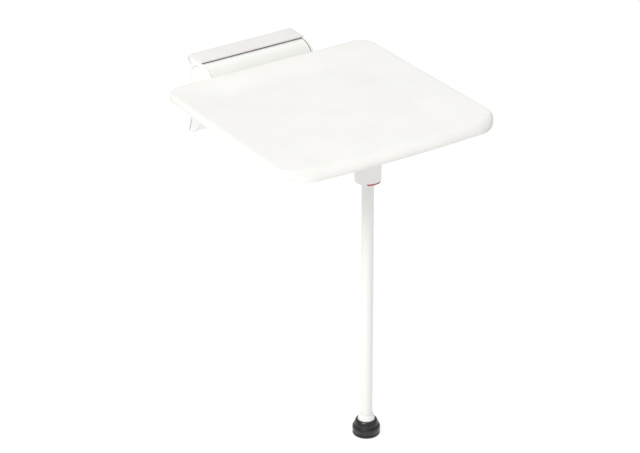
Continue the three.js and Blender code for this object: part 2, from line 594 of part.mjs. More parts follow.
// The barrel with a tongue that leaves it below the hinge axis, so that it swings up in front of
// the top cover, and a step up to the plate that the seat is screwed to.
function hingeBarrel() {
  const tube = bar('x', BARREL_RADIUS, -BARREL_HALF, BARREL_HALF, HINGE_CENTRE, 48);
  const neck = CHEEK_INNER - TONGUE_MARGIN;
  const neckTop = HINGE_Z - SWING_GAP + RUNNING_GAP;
  const rootY = HINGE_Y - BARREL_RADIUS * 0.6;
  const tongue = prism('x', new THREE.Shape([
    [rootY, neckTop],
    [TONGUE_REAR_Y, neckTop],
    [TONGUE_REAR_Y - CARRIER_PLATE * 2, CARRIER_LOW_Z + 1],
    [TONGUE_REAR_Y - CARRIER_PLATE * 2, CARRIER_LOW_Z],
    [CHEEK_FRONT_Y + CARRIER_PLATE, HINGE_Z - TONGUE_ROOT],
    [rootY, HINGE_Z - TONGUE_ROOT],
  ].map(([y, z]) => new THREE.Vector2(y, z))), -neck, neck);
  const seatFlange = block([-CARRIER_WIDTH / 2, CARRIER_WIDTH / 2], [TONGUE_FRONT_Y, TONGUE_REAR_Y],
    [CARRIER_LOW_Z, CARRIER_TOP_Z]);
  const hollow = bar('x', BARREL_RADIUS - BARREL_WALL, -HUB_FACE + BARREL_HUB, HUB_FACE - BARREL_HUB,
    HINGE_CENTRE, 40);
  const ends = SIDES.map(([, side]) =>
    sideBar(side, CHEEK_BOSS_RADIUS + RUNNING_GAP, HUB_FACE, BARREL_HALF + 1, 40));
  const boreRadius = AXLE_RADIUS + GAP + HINGE_TUBE_WALL + GAP;
  const bore = bar('x', boreRadius, -BARREL_HALF, BARREL_HALF, HINGE_CENTRE, 32);
  return cut(join(tube, tongue, seatFlange), hollow, ...ends, bore, ...seatScrewHoles([TONGUE_HOLE_Y]),
    ...railBoltHoles([TONGUE_HOLE_Y]));
}

const seatScrewHoles = (rows) => rows.flatMap((y) => SIDES.map(([, side]) =>
  bar('z', SEAT_SCREW_RADIUS + GAP, RAIL_LOW_Z, SEAT_TOP_Z - SEAT_SKIN, [side * SEAT_SCREW_X, y, 0], 12)));

const railBoltHoles = (rows) => rows.flatMap((y) => SIDES.map(([, side]) =>
  bar('z', RAIL_BOLT_RADIUS + GAP, RAIL_LOW_Z - 1, CARRIER_TOP_Z + 1, [side * RAIL_X, y, 0], 12)));

const RAIL_REAR_Y = TONGUE_HOLE_Y + 10;
const RAIL_FRONT_Y = LEG_Y - SOCKET_PLATE_DEPTH / 2;

function rail(side) {
  const across = (wall) => [side * RAIL_X - RAIL_WIDTH / 2 + wall, side * RAIL_X + RAIL_WIDTH / 2 - wall];
  const outside = block(across(0), [RAIL_FRONT_Y, RAIL_REAR_Y], [RAIL_LOW_Z, RAIL_TOP_Z]);
  const inside = block(across(RAIL_WALL), [RAIL_FRONT_Y - 1, RAIL_REAR_Y + 1],
    [RAIL_LOW_Z + RAIL_WALL, RAIL_TOP_Z - RAIL_WALL]);
  return cut(outside, inside, ...railBoltHoles(RAIL_BOLT_ROWS));
}

function socketPlate() {
  const outline = roundedRectangle(CARRIER_WIDTH, SOCKET_PLATE_DEPTH, 10);
  const plate = prism('z', outline, CARRIER_LOW_Z, CARRIER_TOP_Z, 3);
  const screws = socketScrewPlaces().map(([x, y]) =>
    bar('z', SEAT_SCREW_RADIUS + GAP, CARRIER_LOW_Z - 1, CARRIER_TOP_Z + 1, [x, y - LEG_Y, 0], 12));
  const placed = [...seatScrewHoles(SEAT_SCREW_ROWS), ...railBoltHoles([LEG_Y])]
    .map((hole) => hole.translate([0, -LEG_Y, 0]));
  return cut(plate, ...screws, ...placed);
}

const socketScrewPlaces = () => [1, 3, 5, 7].map((eighth) => [
  SOCKET_SCREW_CIRCLE * Math.cos(eighth * Math.PI / 4),
  LEG_Y + SOCKET_SCREW_CIRCLE * Math.sin(eighth * Math.PI / 4),
]);

// ---------------------------------------------------------------- socket for the leg

// A cup with a flange, open below, slotted towards the wall so that the leg can swing out of it,
// with a notch in the front of its rim for the coloured mark.
function legSocket() {
  const flangeTop = CARRIER_LOW_Z - GAP;
  const centre = [0, LEG_Y, 0];
  const outside = turned('z', [
    [0, RIM_Z],
    [SOCKET_RADIUS - 1, RIM_Z],
    [SOCKET_RADIUS, RIM_Z + 1],
    [SOCKET_RADIUS, flangeTop - SOCKET_FLANGE - 3],
    [SOCKET_RADIUS + 2, flangeTop - SOCKET_FLANGE],
    [SOCKET_FLANGE_RADIUS, flangeTop - SOCKET_FLANGE],
    [SOCKET_FLANGE_RADIUS, flangeTop],
    [0, flangeTop],
  ], 40, centre);
  const domeZ = PIVOT_Z + KNUCKLE_RADIUS + RUNNING_GAP;
  const bore = turned('z', [
    [0, RIM_Z - 1],
    [BORE_RADIUS, RIM_Z - 1],
    [BORE_RADIUS, domeZ],
    [BORE_RADIUS * 0.7, domeZ + SOCKET_WALL],
    [0, domeZ + SOCKET_WALL],
  ], 32, centre);
  const slot = join(
    block([-SLOT_HALF, SLOT_HALF], [LEG_Y, LEG_Y + SOCKET_RADIUS + 2], [RIM_Z - 1, PIVOT_Z]),
    bar('y', SLOT_HALF, LEG_Y, LEG_Y + SOCKET_RADIUS + 2, [0, 0, PIVOT_Z], 32),
  );
  const past = SOCKET_RADIUS + 1;
  const pinHole = bar('x', PIVOT_PIN_RADIUS + GAP, -past, past, [0, LEG_Y, PIVOT_Z], 24);
  const screws = socketScrewPlaces().map(([x, y]) =>
    bar('z', SEAT_SCREW_RADIUS + GAP, flangeTop - SOCKET_FLANGE - 1, flangeTop + 1, [x, y, 0], 12));
  return cut(outside, bore, slot, pinHole, ...screws, markRing(GAP));
}

// The sector of a ring at the front of the socket's rim, grown by a margin.
function markRing(margin) {
  const reach = SOCKET_RADIUS * 2;
  const angle = MARK_HALF_ANGLE + margin / SOCKET_RADIUS;
  const wedge = new THREE.Shape([
    new THREE.Vector2(0, 0),
    new THREE.Vector2(-reach * Math.sin(angle), -reach * Math.cos(angle)),
    new THREE.Vector2(reach * Math.sin(angle), -reach * Math.cos(angle)),
  ]);
  const sector = prism('z', wedge, RIM_Z - 2, RIM_Z + MARK_HEIGHT + 2 * margin);
  const outer = margin > 0 ? SOCKET_RADIUS + 1 : SOCKET_RADIUS - GAP / 2;
  const low = margin > 0 ? RIM_Z - 1 : RIM_Z;
  const ring = pipe('z', outer, SOCKET_RADIUS - MARK_DEPTH - margin, low, RIM_Z + MARK_HEIGHT + margin,
    [0, 0, 0], 48);
  return overlap(ring, sector).translate([0, LEG_Y, 0]);
}

// ---------------------------------------------------------------- moulded seat

// Height of the seat at x, away from its rear rim: a shallow dish between the creases and flanks
// that rise outside them.
function crossZ(x) {
  const away = Math.abs(x);
  if (away <= CREASE_X) return SEAT_TOP_Z - DISH * (1 - (away / CREASE_X) ** 2);
  return SEAT_TOP_Z + (FLANK_RISE * (away - CREASE_X)) / (SEAT_WIDTH / 2 - CREASE_X);
}

// A face at a depth below the seat's upper face, which sweeps up to a level rim at the rear.
const below = (depth) => (x, y) => {
  const share = THREE.MathUtils.smoothstep(y, SEAT_REAR_Y - REAR_SWEEP, SEAT_REAR_Y);
  return THREE.MathUtils.lerp(crossZ(x), SEAT_TOP_Z + REAR_RISE, share) - depth;
};

// A face at a height above the seat's underside.
const above = (rise) => (x) => crossZ(x) - SEAT_THICKNESS + rise;

// How far a round of the given radius falls at a distance in from the edge.
const edgeFall = (inside, radius) =>
  (inside >= radius ? 0 : radius - Math.sqrt(radius ** 2 - (radius - inside) ** 2));

// Places across a width, closer together within the edge rounding.
function stations(half, edge, middleSteps = 12, edgeSteps = 3) {
  const flat = half - edge;
  const middle = Array.from({ length: middleSteps + 1 }, (_, i) => -flat + (2 * flat * i) / middleSteps);
  const rounds = Array.from({ length: edgeSteps }, (_, i) => {
    const turn = ((i + 1) * Math.PI) / 2 / edgeSteps;
    return flat + edge * Math.sin(turn);
  });
  return [...rounds.map((x) => -x).reverse(), ...middle, ...rounds];
}

// A solid between an upper and a lower face, each a height over (x, y), on a grid of places. Its
// long edges at each side are rounded.
function sheet(upper, lower, half, edge) {
  const across = stations(half, edge);
  const front = SEAT_FRONT_Y - 1;
  const sweep = SEAT_REAR_Y - REAR_SWEEP;
  const swept = Array.from({ length: 7 }, (_, i) => sweep + (REAR_SWEEP * i) / 6);
  const along = [front, ...swept, SEAT_REAR_Y + 1];
  const rings = along.map((y) => [
    ...across.map((x) => [x, y, upper(x, y) - edgeFall(half - Math.abs(x), edge)]),
    ...across.map((x) => [x, y, lower(x, y)]).reverse(),
  ]);
  const count = rings[0].length;
  const faces = [];
  for (let i = 0; i < rings.length - 1; i += 1) {
    for (let j = 0; j < count; j += 1) {
      const next = (j + 1) % count;
      const [a, b] = [i * count + j, i * count + next];
      faces.push(a, b, b + count, a, b + count, a + count);
    }
  }
  const last = (rings.length - 1) * count;
  for (let j = 0; j < across.length - 1; j += 1) {
    const far = count - 1 - j;
    faces.push(j, far, far - 1, j, far - 1, j + 1);
    faces.push(last + j, last + far - 1, last + far, last + j, last + j + 1, last + far - 1);
  }
  const geometry = new THREE.BufferGeometry();
  geometry.setAttribute('position', new THREE.Float32BufferAttribute(rings.flat(2), 3));
  geometry.setIndex(faces);
  return solid(geometry);
}

// Plan of the seat in (x, y): straight sides that close in a little towards the wall.
function seatPlan(inset) {
  const front = SEAT_WIDTH / 2 + (SEAT_TAPER * FRONT_CORNER) / SEAT_DEPTH - inset;
  const rear = front - SEAT_TAPER;
  return roundedShape([
    [-front, SEAT_FRONT_Y + inset, FRONT_CORNER - inset],
    [front, SEAT_FRONT_Y + inset, FRONT_CORNER - inset],
    [rear, SEAT_REAR_Y - inset, REAR_CORNER - inset],
    [-rear, SEAT_REAR_Y - inset, REAR_CORNER - inset],
  ]);
}

// Side view of the seat in (y, z): the front edge rolls down and the rear edge is rounded.
function seatSide(inset) {
  const high = SEAT_TOP_Z + REAR_RISE + 1 - inset;
  const low = UNDERSIDE_Z - SEAT_THICKNESS;
  const front = SEAT_FRONT_Y + inset;
  const rear = SEAT_REAR_Y - inset;
  const edge = UNDERSIDE_Z + FRONT_EDGE - inset;
  const steps = 6;
  const roll = Array.from({ length: steps + 1 }, (_, i) => {
    const turn = (i * Math.PI) / 2 / steps;
    const y = front + FRONT_ROLL * (1 - Math.cos(turn));
    return new THREE.Vector2(y, edge + (high - edge) * Math.sin(turn));
  });
  const roundZ = SEAT_TOP_Z + REAR_RISE - inset - SEAT_EDGE;
  const back = [1, 2 / 3, 1 / 3, 0].map((share) => {
    const turn = (share * Math.PI) / 2;
    const y = rear - SEAT_EDGE * (1 - Math.cos(turn));
    return new THREE.Vector2(y, roundZ + SEAT_EDGE * Math.sin(turn));
  });
  return new THREE.Shape([
    new THREE.Vector2(front, low),
    ...roll,
    new THREE.Vector2(rear - SEAT_EDGE, high),
    ...back,
    new THREE.Vector2(rear, low),
  ]);
}

// The block of the seat between two faces, inset from its outline.
function seatBlock(upper, lower, inset, edge) {
  const half = SEAT_WIDTH / 2 - inset;
  const lowest = UNDERSIDE_Z - 2 * SEAT_THICKNESS;
  return overlap(
    sheet(upper, lower, half, edge),
    prism('z', seatPlan(inset), lowest, SEAT_TOP_Z + 2 * SEAT_THICKNESS, 4),
    prism('x', seatSide(inset), -half - 1, half + 1),
  );
}

const SEAT_SCREW_PLACES = SEAT_SCREW_ROWS.flatMap((y) => SIDES.map(([, side]) => [side * SEAT_SCREW_X, y]));
const BOSS_LOW_Z = UNDERSIDE_Z + PAN_THICKNESS + GAP;

function seatShell() {
  const outside = seatBlock(below(0), above(0), 0, SEAT_EDGE);
  const hollow = seatBlock(below(SEAT_SKIN), above(-SEAT_SKIN), SEAT_SKIN, 1);
  const bosses = SEAT_SCREW_PLACES.map(([x, y]) =>
    bar('z', BOSS_RADIUS, BOSS_LOW_Z, below(SEAT_SKIN / 2)(x, y), [x, y, 0], 12));
  return cut(join(cut(outside, hollow), ...bosses), ...seatScrewHoles(SEAT_SCREW_ROWS));
}

// The ribbed pan that closes the seat from below, inside the shell's rim.
function seatPan() {
  const inset = SEAT_SKIN + GAP;
  const floor = seatBlock(above(PAN_THICKNESS), above(0), inset, 1);
  const inside = seatBlock(below(SEAT_SKIN + GAP), above(GAP), inset + RIB_THICKNESS, 1);
  const high = SEAT_TOP_Z + SEAT_THICKNESS;
  const upright = [UNDERSIDE_Z - SEAT_THICKNESS, high];
  const count = Math.floor((SEAT_WIDTH / 2 - inset) / RIB_PITCH);
  const middleY = (SEAT_FRONT_Y + SEAT_REAR_Y) / 2;
  const half = RIB_THICKNESS / 2;
  const places = Array.from({ length: 2 * count + 1 }, (_, i) => (i - count) * RIB_PITCH);
  const bars = places.flatMap((at) => [
    block([at - half, at + half], [SEAT_FRONT_Y, SEAT_REAR_Y], upright),
    block([-SEAT_WIDTH / 2, SEAT_WIDTH / 2], [middleY + at - half, middleY + at + half], upright),
  ]);
  const ribs = overlap(join(...bars), inside);
  const room = SEAT_SCREW_PLACES.map(([x, y]) =>
    bar('z', BOSS_RADIUS + RUNNING_GAP, UNDERSIDE_Z + PAN_THICKNESS, high, [x, y, 0], 12));
  return cut(join(floor, ribs), ...room, ...seatScrewHoles(SEAT_SCREW_ROWS));
}

function buildSeat() {
  const seat = new THREE.Group();
  const tubeOuter = AXLE_RADIUS + GAP + HINGE_TUBE_WALL;
  addPart(seat, 'hinge_barrel', hingeBarrel(), WHITE_PLASTIC);
  const tube = pipe('x', tubeOuter, AXLE_RADIUS + GAP, -HUB_FACE, HUB_FACE, HINGE_CENTRE);
  addPart(seat, 'hinge_tube', tube, PLATED_STEEL);
  addPart(seat, 'socket_plate', socketPlate(), BRUSHED_STEEL, [0, LEG_Y, 0]);
  addPart(seat, 'leg_socket', legSocket(), WHITE_PLASTIC);
  addPart(seat, 'socket_mark', markRing(0), RED_PLASTIC);
  const pinHalf = SOCKET_RADIUS - 1;
  addPart(seat, 'leg_pivot_pin', bar('x', PIVOT_PIN_RADIUS, -pinHalf, pinHalf, [0, 0, 0]), PLATED_STEEL,
    [0, LEG_Y, PIVOT_Z]);
  addPart(seat, 'seat_shell', seatShell(), WHITE_PLASTIC);
  addPart(seat, 'seat_pan', seatPan(), WHITE_PLASTIC);
  for (const [name, side] of SIDES) {
    const face = HUB_FACE + GAP;
    const disc = sidePipe(side, CHEEK_BOSS_RADIUS, AXLE_RADIUS + RUNNING_GAP, face, face + FRICTION_DISC);
    addPart(seat, `${name}_friction_disc`, disc, GREY_NYLON);
    addPart(seat, `${name}_rail`, rail(side), BRUSHED_STEEL);
    RAIL_BOLT_ROWS.forEach((y, i) => {
      const low = RAIL_LOW_Z - GAP;
      addPart(seat, `${name}_rail_bolt_${i + 1}`,
        socketScrew(RAIL_BOLT_RADIUS, CARRIER_TOP_Z - low, RAIL_BOLT_RADIUS * 1.8, RAIL_BOLT_HEAD),
        PLATED_STEEL, [side * RAIL_X, y, low]);
    });
    SEAT_SCREW_ROWS.forEach((y, i) => {
      const low = CARRIER_LOW_Z - GAP;
      const length = SEAT_TOP_Z - SEAT_SKIN - 1 - low;
      addPart(seat, `${name}_seat_screw_${i + 1}`,
        socketScrew(SEAT_SCREW_RADIUS, length, SEAT_SCREW_RADIUS * 1.9, SEAT_SCREW_HEAD),
        PLATED_STEEL, [side * SEAT_SCREW_X, y, low]);
    });
  }
  socketScrewPlaces().forEach(([x, y], i) => {
    const low = CARRIER_LOW_Z - SOCKET_FLANGE - 2 * GAP;
    addPart(seat, `socket_screw_${i + 1}`,
      socketScrew(SEAT_SCREW_RADIUS, CARRIER_TOP_Z - low, SEAT_SCREW_RADIUS * 1.9, SEAT_SCREW_HEAD),
      PLATED_STEEL, [x, y, low]);
  });
  return seat;
}

// ---------------------------------------------------------------- leg, drawn about its own axis

function knuckle() {
  const half = KNUCKLE_WIDTH / 2;
  const head = bar('x', KNUCKLE_RADIUS, -half, half, [0, 0, PIVOT_Z], 32);
  const across = [-TUBE_BORE * 0.7, TUBE_BORE * 0.7];
  const shoulder = block([-TUBE_BORE, TUBE_BORE], across, [TUBE_TOP_Z, PIVOT_Z]);
  const stem = bar('z', TUBE_BORE - GAP, STEM_LOW_Z, TUBE_TOP_Z + GAP, [0, 0, 0], 28);
  const pivotHole = bar('x', PIVOT_PIN_RADIUS + GAP, -half - 1, half + 1, [0, 0, PIVOT_Z]);
  const pinHole = bar('x', CROSS_PIN_RADIUS + GAP, -half - 1, half + 1, [0, 0, CROSS_PIN_Z], 12);
  return cut(join(head, shoulder, stem), pivotHole, pinHole);
}

function legTube() {
  const past = TUBE_RADIUS + 1;
  const pinHole = bar('x', CROSS_PIN_RADIUS + GAP, -past, past, [0, 0, CROSS_PIN_Z], 12);
  return cut(pipe('z', TUBE_RADIUS, TUBE_BORE, TUBE_LOW_Z, TUBE_TOP_Z, [0, 0, 0], 32), pinHole);
}

const sleeveTop = () => RIM_Z - RUNNING_GAP;

function buildLeg() {
  const leg = new THREE.Group();
  leg.position.set(0, LEG_Y, 0);
  addPart(leg, 'leg_knuckle', knuckle(), GREY_NYLON);
  addPart(leg, 'leg_tube', legTube(), COATED_METAL);
  const pinHalf = TUBE_RADIUS - GAP;
  addPart(leg, 'knuckle_pin', bar('x', CROSS_PIN_RADIUS, -pinHalf, pinHalf, [0, 0, 0], 12), PLATED_STEEL,
    [0, 0, CROSS_PIN_Z]);
  addPart(leg, 'tube_sleeve', pipe('z', SLEEVE_RADIUS, TUBE_RADIUS + GAP, sleeveTop() - SLEEVE_LENGTH,
    sleeveTop(), [0, 0, 0], 32), WHITE_PLASTIC);
  addPart(leg, 'tube_insert', pipe('z', TUBE_BORE - GAP, SPINDLE_RADIUS + GAP, TUBE_LOW_Z,
    TUBE_LOW_Z + INSERT_LENGTH, [0, 0, 0], 28), GREY_NYLON);
  return leg;
}

// ---------------------------------------------------------------- adjustable foot

// The cup that the tube stands in, with the cone that shows above the rubber.
function footCone() {
  const bore = TUBE_RADIUS + GAP;
  return turned('z', [
    [SPINDLE_RADIUS + GAP, FLOOR_Z + FOOT_SOLE + GAP],
    [CUP_RADIUS, FLOOR_Z + FOOT_SOLE + GAP],
    [CUP_RADIUS, FOOT_TOP_Z],
    [CUP_RADIUS - 0.4, FOOT_TOP_Z + 1.5],
    [CONE_TOP_RADIUS, FOOT_TOP_Z + CONE_HEIGHT],
    [bore, FOOT_TOP_Z + CONE_HEIGHT],
    [bore, FLOOR_Z + FOOT_SOLE + CONE_FLOOR],
    [SPINDLE_RADIUS + GAP, FLOOR_Z + FOOT_SOLE + CONE_FLOOR],
    [SPINDLE_RADIUS + GAP, FLOOR_Z + FOOT_SOLE + GAP],
  ], 32);
}

// The rubber bell: a ridge round its lower part, a waist under it and a round shoulder up to its
// mouth, which holds the cup.
function rubberFoot() {
  const shoulder = 4;
  const shoulderFoot = FOOT_RADIUS * 0.86;
  const dome = Array.from({ length: shoulder + 1 }, (_, i) => {
    const turn = (i * Math.PI) / 2 / shoulder;
    const low = FLOOR_Z + FOOT_FLANGE_HIGH + 1;
    return [
      FOOT_MOUTH_RADIUS + 1.2 + (shoulderFoot - FOOT_MOUTH_RADIUS - 1.2) * Math.cos(turn),
      low + (FOOT_TOP_Z - low) * Math.sin(turn),
    ];
  });
  return turned('z', [
    [0, FLOOR_Z],
    [FOOT_RADIUS * 0.9, FLOOR_Z],
    [FOOT_RADIUS * 0.95, FLOOR_Z + 1],
    [FOOT_RADIUS * 0.95, FLOOR_Z + FOOT_FLANGE_LOW - 1],
    [FOOT_RADIUS, FLOOR_Z + FOOT_FLANGE_LOW],
    [FOOT_RADIUS, FLOOR_Z + FOOT_FLANGE_HIGH - 1],
    [FOOT_RADIUS * 0.96, FLOOR_Z + FOOT_FLANGE_HIGH],
    ...dome,
    [FOOT_MOUTH_RADIUS, FOOT_TOP_Z - 0.6],
    [FOOT_MOUTH_RADIUS, FLOOR_Z + FOOT_SOLE],
    [SPINDLE_RADIUS + 4 * GAP, FLOOR_Z + FOOT_SOLE],
    [SPINDLE_RADIUS + 4 * GAP, FLOOR_Z + FOOT_SOLE / 2],
    [0, FLOOR_Z + FOOT_SOLE / 2],
  ], 32);
}

const SPINDLE_LOW_Z = FLOOR_Z + FOOT_SOLE / 2 + GAP;

function buildFoot() {
  const foot = new THREE.Group();
  foot.position.set(0, LEG_Y, 0);
  addPart(foot, 'adjuster_cone', footCone(), WHITE_PLASTIC);
  addPart(foot, 'rubber_foot', rubberFoot(), BLACK_RUBBER);
  addPart(foot, 'adjuster_spindle', bar('z', SPINDLE_RADIUS, SPINDLE_LOW_Z, SPINDLE_LOW_Z + SPINDLE_LENGTH,
    [0, 0, 0]), PLATED_STEEL);
  addPart(foot, 'spindle_washer', pipe('z', SPINDLE_RADIUS + 2.5, SPINDLE_RADIUS + GAP,
    FLOOR_Z + FOOT_SOLE + CONE_FLOOR + GAP, FLOOR_Z + FOOT_SOLE + CONE_FLOOR + GAP + WASHER_THICKNESS,
    [0, 0, 0], 24), PLATED_STEEL);
  return foot;
}

// ---------------------------------------------------------------- the whole seat

const showerSeat = new THREE.Group();
showerSeat.add(buildBracket(), buildSeat(), buildLeg(), buildFoot());

export default showerSeat;
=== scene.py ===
"""A wall-mounted folding shower seat: moulded seat, hinged bracket, floor leg and rubber foot.

Every length is in metres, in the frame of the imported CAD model: the wall is the plane y = 0, the
room is towards -y, +x is to the right of someone who faces the wall, and +z is up.
"""

import json
import logging
import math
from collections.abc import Sequence
from dataclasses import dataclass, field
from enum import Enum

import bmesh
import bpy
import numpy as np
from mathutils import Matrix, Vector


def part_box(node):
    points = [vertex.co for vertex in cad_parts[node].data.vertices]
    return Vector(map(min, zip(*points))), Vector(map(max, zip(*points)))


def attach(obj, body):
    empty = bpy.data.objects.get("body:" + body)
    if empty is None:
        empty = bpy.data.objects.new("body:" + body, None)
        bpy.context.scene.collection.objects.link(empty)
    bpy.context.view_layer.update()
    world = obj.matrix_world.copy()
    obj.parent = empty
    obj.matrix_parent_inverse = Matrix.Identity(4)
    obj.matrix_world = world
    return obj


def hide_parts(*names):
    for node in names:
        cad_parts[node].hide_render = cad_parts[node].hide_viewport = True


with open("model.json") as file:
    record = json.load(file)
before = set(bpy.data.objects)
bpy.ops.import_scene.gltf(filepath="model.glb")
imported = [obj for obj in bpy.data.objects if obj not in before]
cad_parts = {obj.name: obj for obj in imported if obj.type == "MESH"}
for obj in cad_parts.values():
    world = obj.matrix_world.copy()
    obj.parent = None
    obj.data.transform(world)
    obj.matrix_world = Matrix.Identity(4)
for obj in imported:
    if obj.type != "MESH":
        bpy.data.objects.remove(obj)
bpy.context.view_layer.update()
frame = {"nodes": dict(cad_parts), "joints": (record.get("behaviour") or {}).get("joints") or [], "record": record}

log = logging.getLogger("shower_seat")

MM = 0.001
GAP = 0.3 * MM            # between fixed pieces that lie on each other
QUARTER = math.pi / 2
WELD = 0.002 * MM         # points closer than this become one
CAD_WELD = 0.004 * MM     # and on a CAD node, whose numbers are coarser
FLAT_DEGREES = 0.6        # facets of a CAD node that turn by less than this are one face
CAD_SHARP_DEGREES = 28.0  # edges of a CAD node that turn by more than this stay sharp
ROUND_DEGREES = 32.0      # and by more than this are rounded


# ------------------------------------------------------------------ options


class Ends(Enum):
    """How the first and the last ring of a surface are closed."""

    CAPPED = "a flat face closes each of them"
    POLES = "each of them is a single point"
    LOOPED = "the last ring joins the first one"


class Axis(Enum):
    """The axis that a profile is turned round, as the order of (across, up, along) in (x, y, z)."""

    X = (2, 0, 1)
    Z = (0, 1, 2)


class Grain(Enum):
    """The way a metal was finished."""

    BRUSHED = "fine lines along one direction"
    PLATED = "a dull crystalline zinc layer"


# ------------------------------------------------------------------ colours and shader nodes


def linear(code: str) -> tuple[float, float, float, float]:
    """Turn an sRGB hex colour into linear RGBA.

    Args:
        code: six hex digits.

    Returns:
        Red, green, blue and alpha, each from 0 to 1.
    """
    parts = np.array([int(code[i:i + 2], 16) for i in (0, 2, 4)]) / 255
    flat = np.where(parts <= 0.04045, parts / 12.92, ((parts + 0.055) / 1.055) ** 2.4)
    return (float(flat[0]), float(flat[1]), float(flat[2]), 1.0)


def add(tree: bpy.types.NodeTree, kind: str, inputs: dict | None = None, **settings) -> bpy.types.Node:
    """Add one shader node with its settings and links.

    Args:
        tree: the material's node tree.
        kind: the node's type, without "ShaderNode".
        inputs: for each input, by name or number, a value or the socket that feeds it.
        settings: the node's own settings by name.

    Returns:
        The new node.
    """
    made = tree.nodes.new("ShaderNode" + kind)
    for name, value in settings.items():
        setattr(made, name, value)
    for name, value in (inputs or {}).items():
        if isinstance(value, bpy.types.NodeSocket):
            tree.links.new(value, made.inputs[name])
        else:
            made.inputs[name].default_value = value
    return made


def start_material(name: str) -> tuple[bpy.types.Material, bpy.types.NodeTree]:
    """Make an empty node material.

    Args:
        name: the material's name.

    Returns:
        The material and its cleared node tree.
    """
    material = bpy.data.materials.new(name)
    material.use_nodes = True
    material.node_tree.nodes.clear()
    return material, material.node_tree


def per_metre(size_mm: float) -> float:
    """Give the noise scale that makes a pattern of a size in millimetres."""
    return 1.0 / (size_mm * MM)


# ------------------------------------------------------------------ finishes


@dataclass(frozen=True)
class MouldedPlastic:
    """A satin white thermoplastic from a spark-eroded mould.

    To the eye it is an even off-white with a soft broad highlight: a fine stipple breaks the
    highlight up, and slow cloudy changes of tone and gloss come from how the melt flowed.
    """

    name: str
    colour: str
    cloud: str
    roughness: float
    stipple_mm: float         # real stipple is about 0.1 mm apart, drawn coarser so that it shows
    stipple_depth: float
    cloud_mm: float = 60.0
    coat: float = 0.0
    gloss_spread: float = 0.06

    def build(self) -> bpy.types.Material:
        """Build the node material.

        Returns:
            The finished material.
        """
        material, tree = start_material(self.name)
        place = add(tree, "TexCoord").outputs["Object"]
        slow = add(tree, "TexNoise", {"Vector": place, "Scale": per_metre(self.cloud_mm), "Detail": 3.0})
        fine = add(tree, "TexNoise", {"Vector": place, "Scale": per_metre(self.stipple_mm), "Detail": 2.0})
        tone = add(tree, "ValToRGB", {"Fac": slow.outputs["Fac"]})
        tone.color_ramp.elements[0].position = 0.35
        tone.color_ramp.elements[0].color = linear(self.cloud)
        tone.color_ramp.elements[1].position = 0.65
        tone.color_ramp.elements[1].color = linear(self.colour)
        gloss = add(tree, "MapRange", {
            "Value": fine.outputs["Fac"], "From Min": 0.3, "From Max": 0.7,
            "To Min": self.roughness - self.gloss_spread, "To Max": self.roughness + self.gloss_spread,
        })
        bump = add(tree, "Bump", {
            "Height": fine.outputs["Fac"], "Strength": 1.0, "Distance": self.stipple_depth * MM,
        })
        skin = add(tree, "BsdfPrincipled", {
            "Base Color": tone.outputs["Color"], "Roughness": gloss.outputs["Result"],
            "Normal": bump.outputs["Normal"], "IOR": 1.5, "Coat Weight": self.coat, "Coat Roughness": 0.3,
        })
        add(tree, "OutputMaterial", {"Surface": skin.outputs["BSDF"]})
        return material


@dataclass(frozen=True)
class PowderCoat:
    """White powder coat on a drawn aluminium tube.

    To the eye it is a smooth glossy white skin with the faint orange peel of the baked powder, which
    makes the long highlight along the tube wander a little.
    """

    name: str = "powder_coated_aluminium"
    colour: str = "f1f0ed"
    peel_mm: float = 1.6
    peel_depth: float = 0.02

    def build(self) -> bpy.types.Material:
        """Build the node material.

        Returns:
            The finished material.
        """
        material, tree = start_material(self.name)
        place = add(tree, "TexCoord").outputs["Object"]
        peel = add(tree, "TexNoise", {"Vector": place, "Scale": per_metre(self.peel_mm), "Detail": 1.0})
        gloss = add(tree, "MapRange", {"Value": peel.outputs["Fac"], "To Min": 0.24, "To Max": 0.36})
        bump = add(tree, "Bump", {
            "Height": peel.outputs["Fac"], "Strength": 1.0, "Distance": self.peel_depth * MM,
        })
        skin = add(tree, "BsdfPrincipled", {
            "Base Color": linear(self.colour), "Roughness": gloss.outputs["Result"],
            "Normal": bump.outputs["Normal"], "IOR": 1.5, "Coat Weight": 0.25, "Coat Roughness": 0.12,
        })
        add(tree, "OutputMaterial", {"Surface": skin.outputs["BSDF"]})
        return material


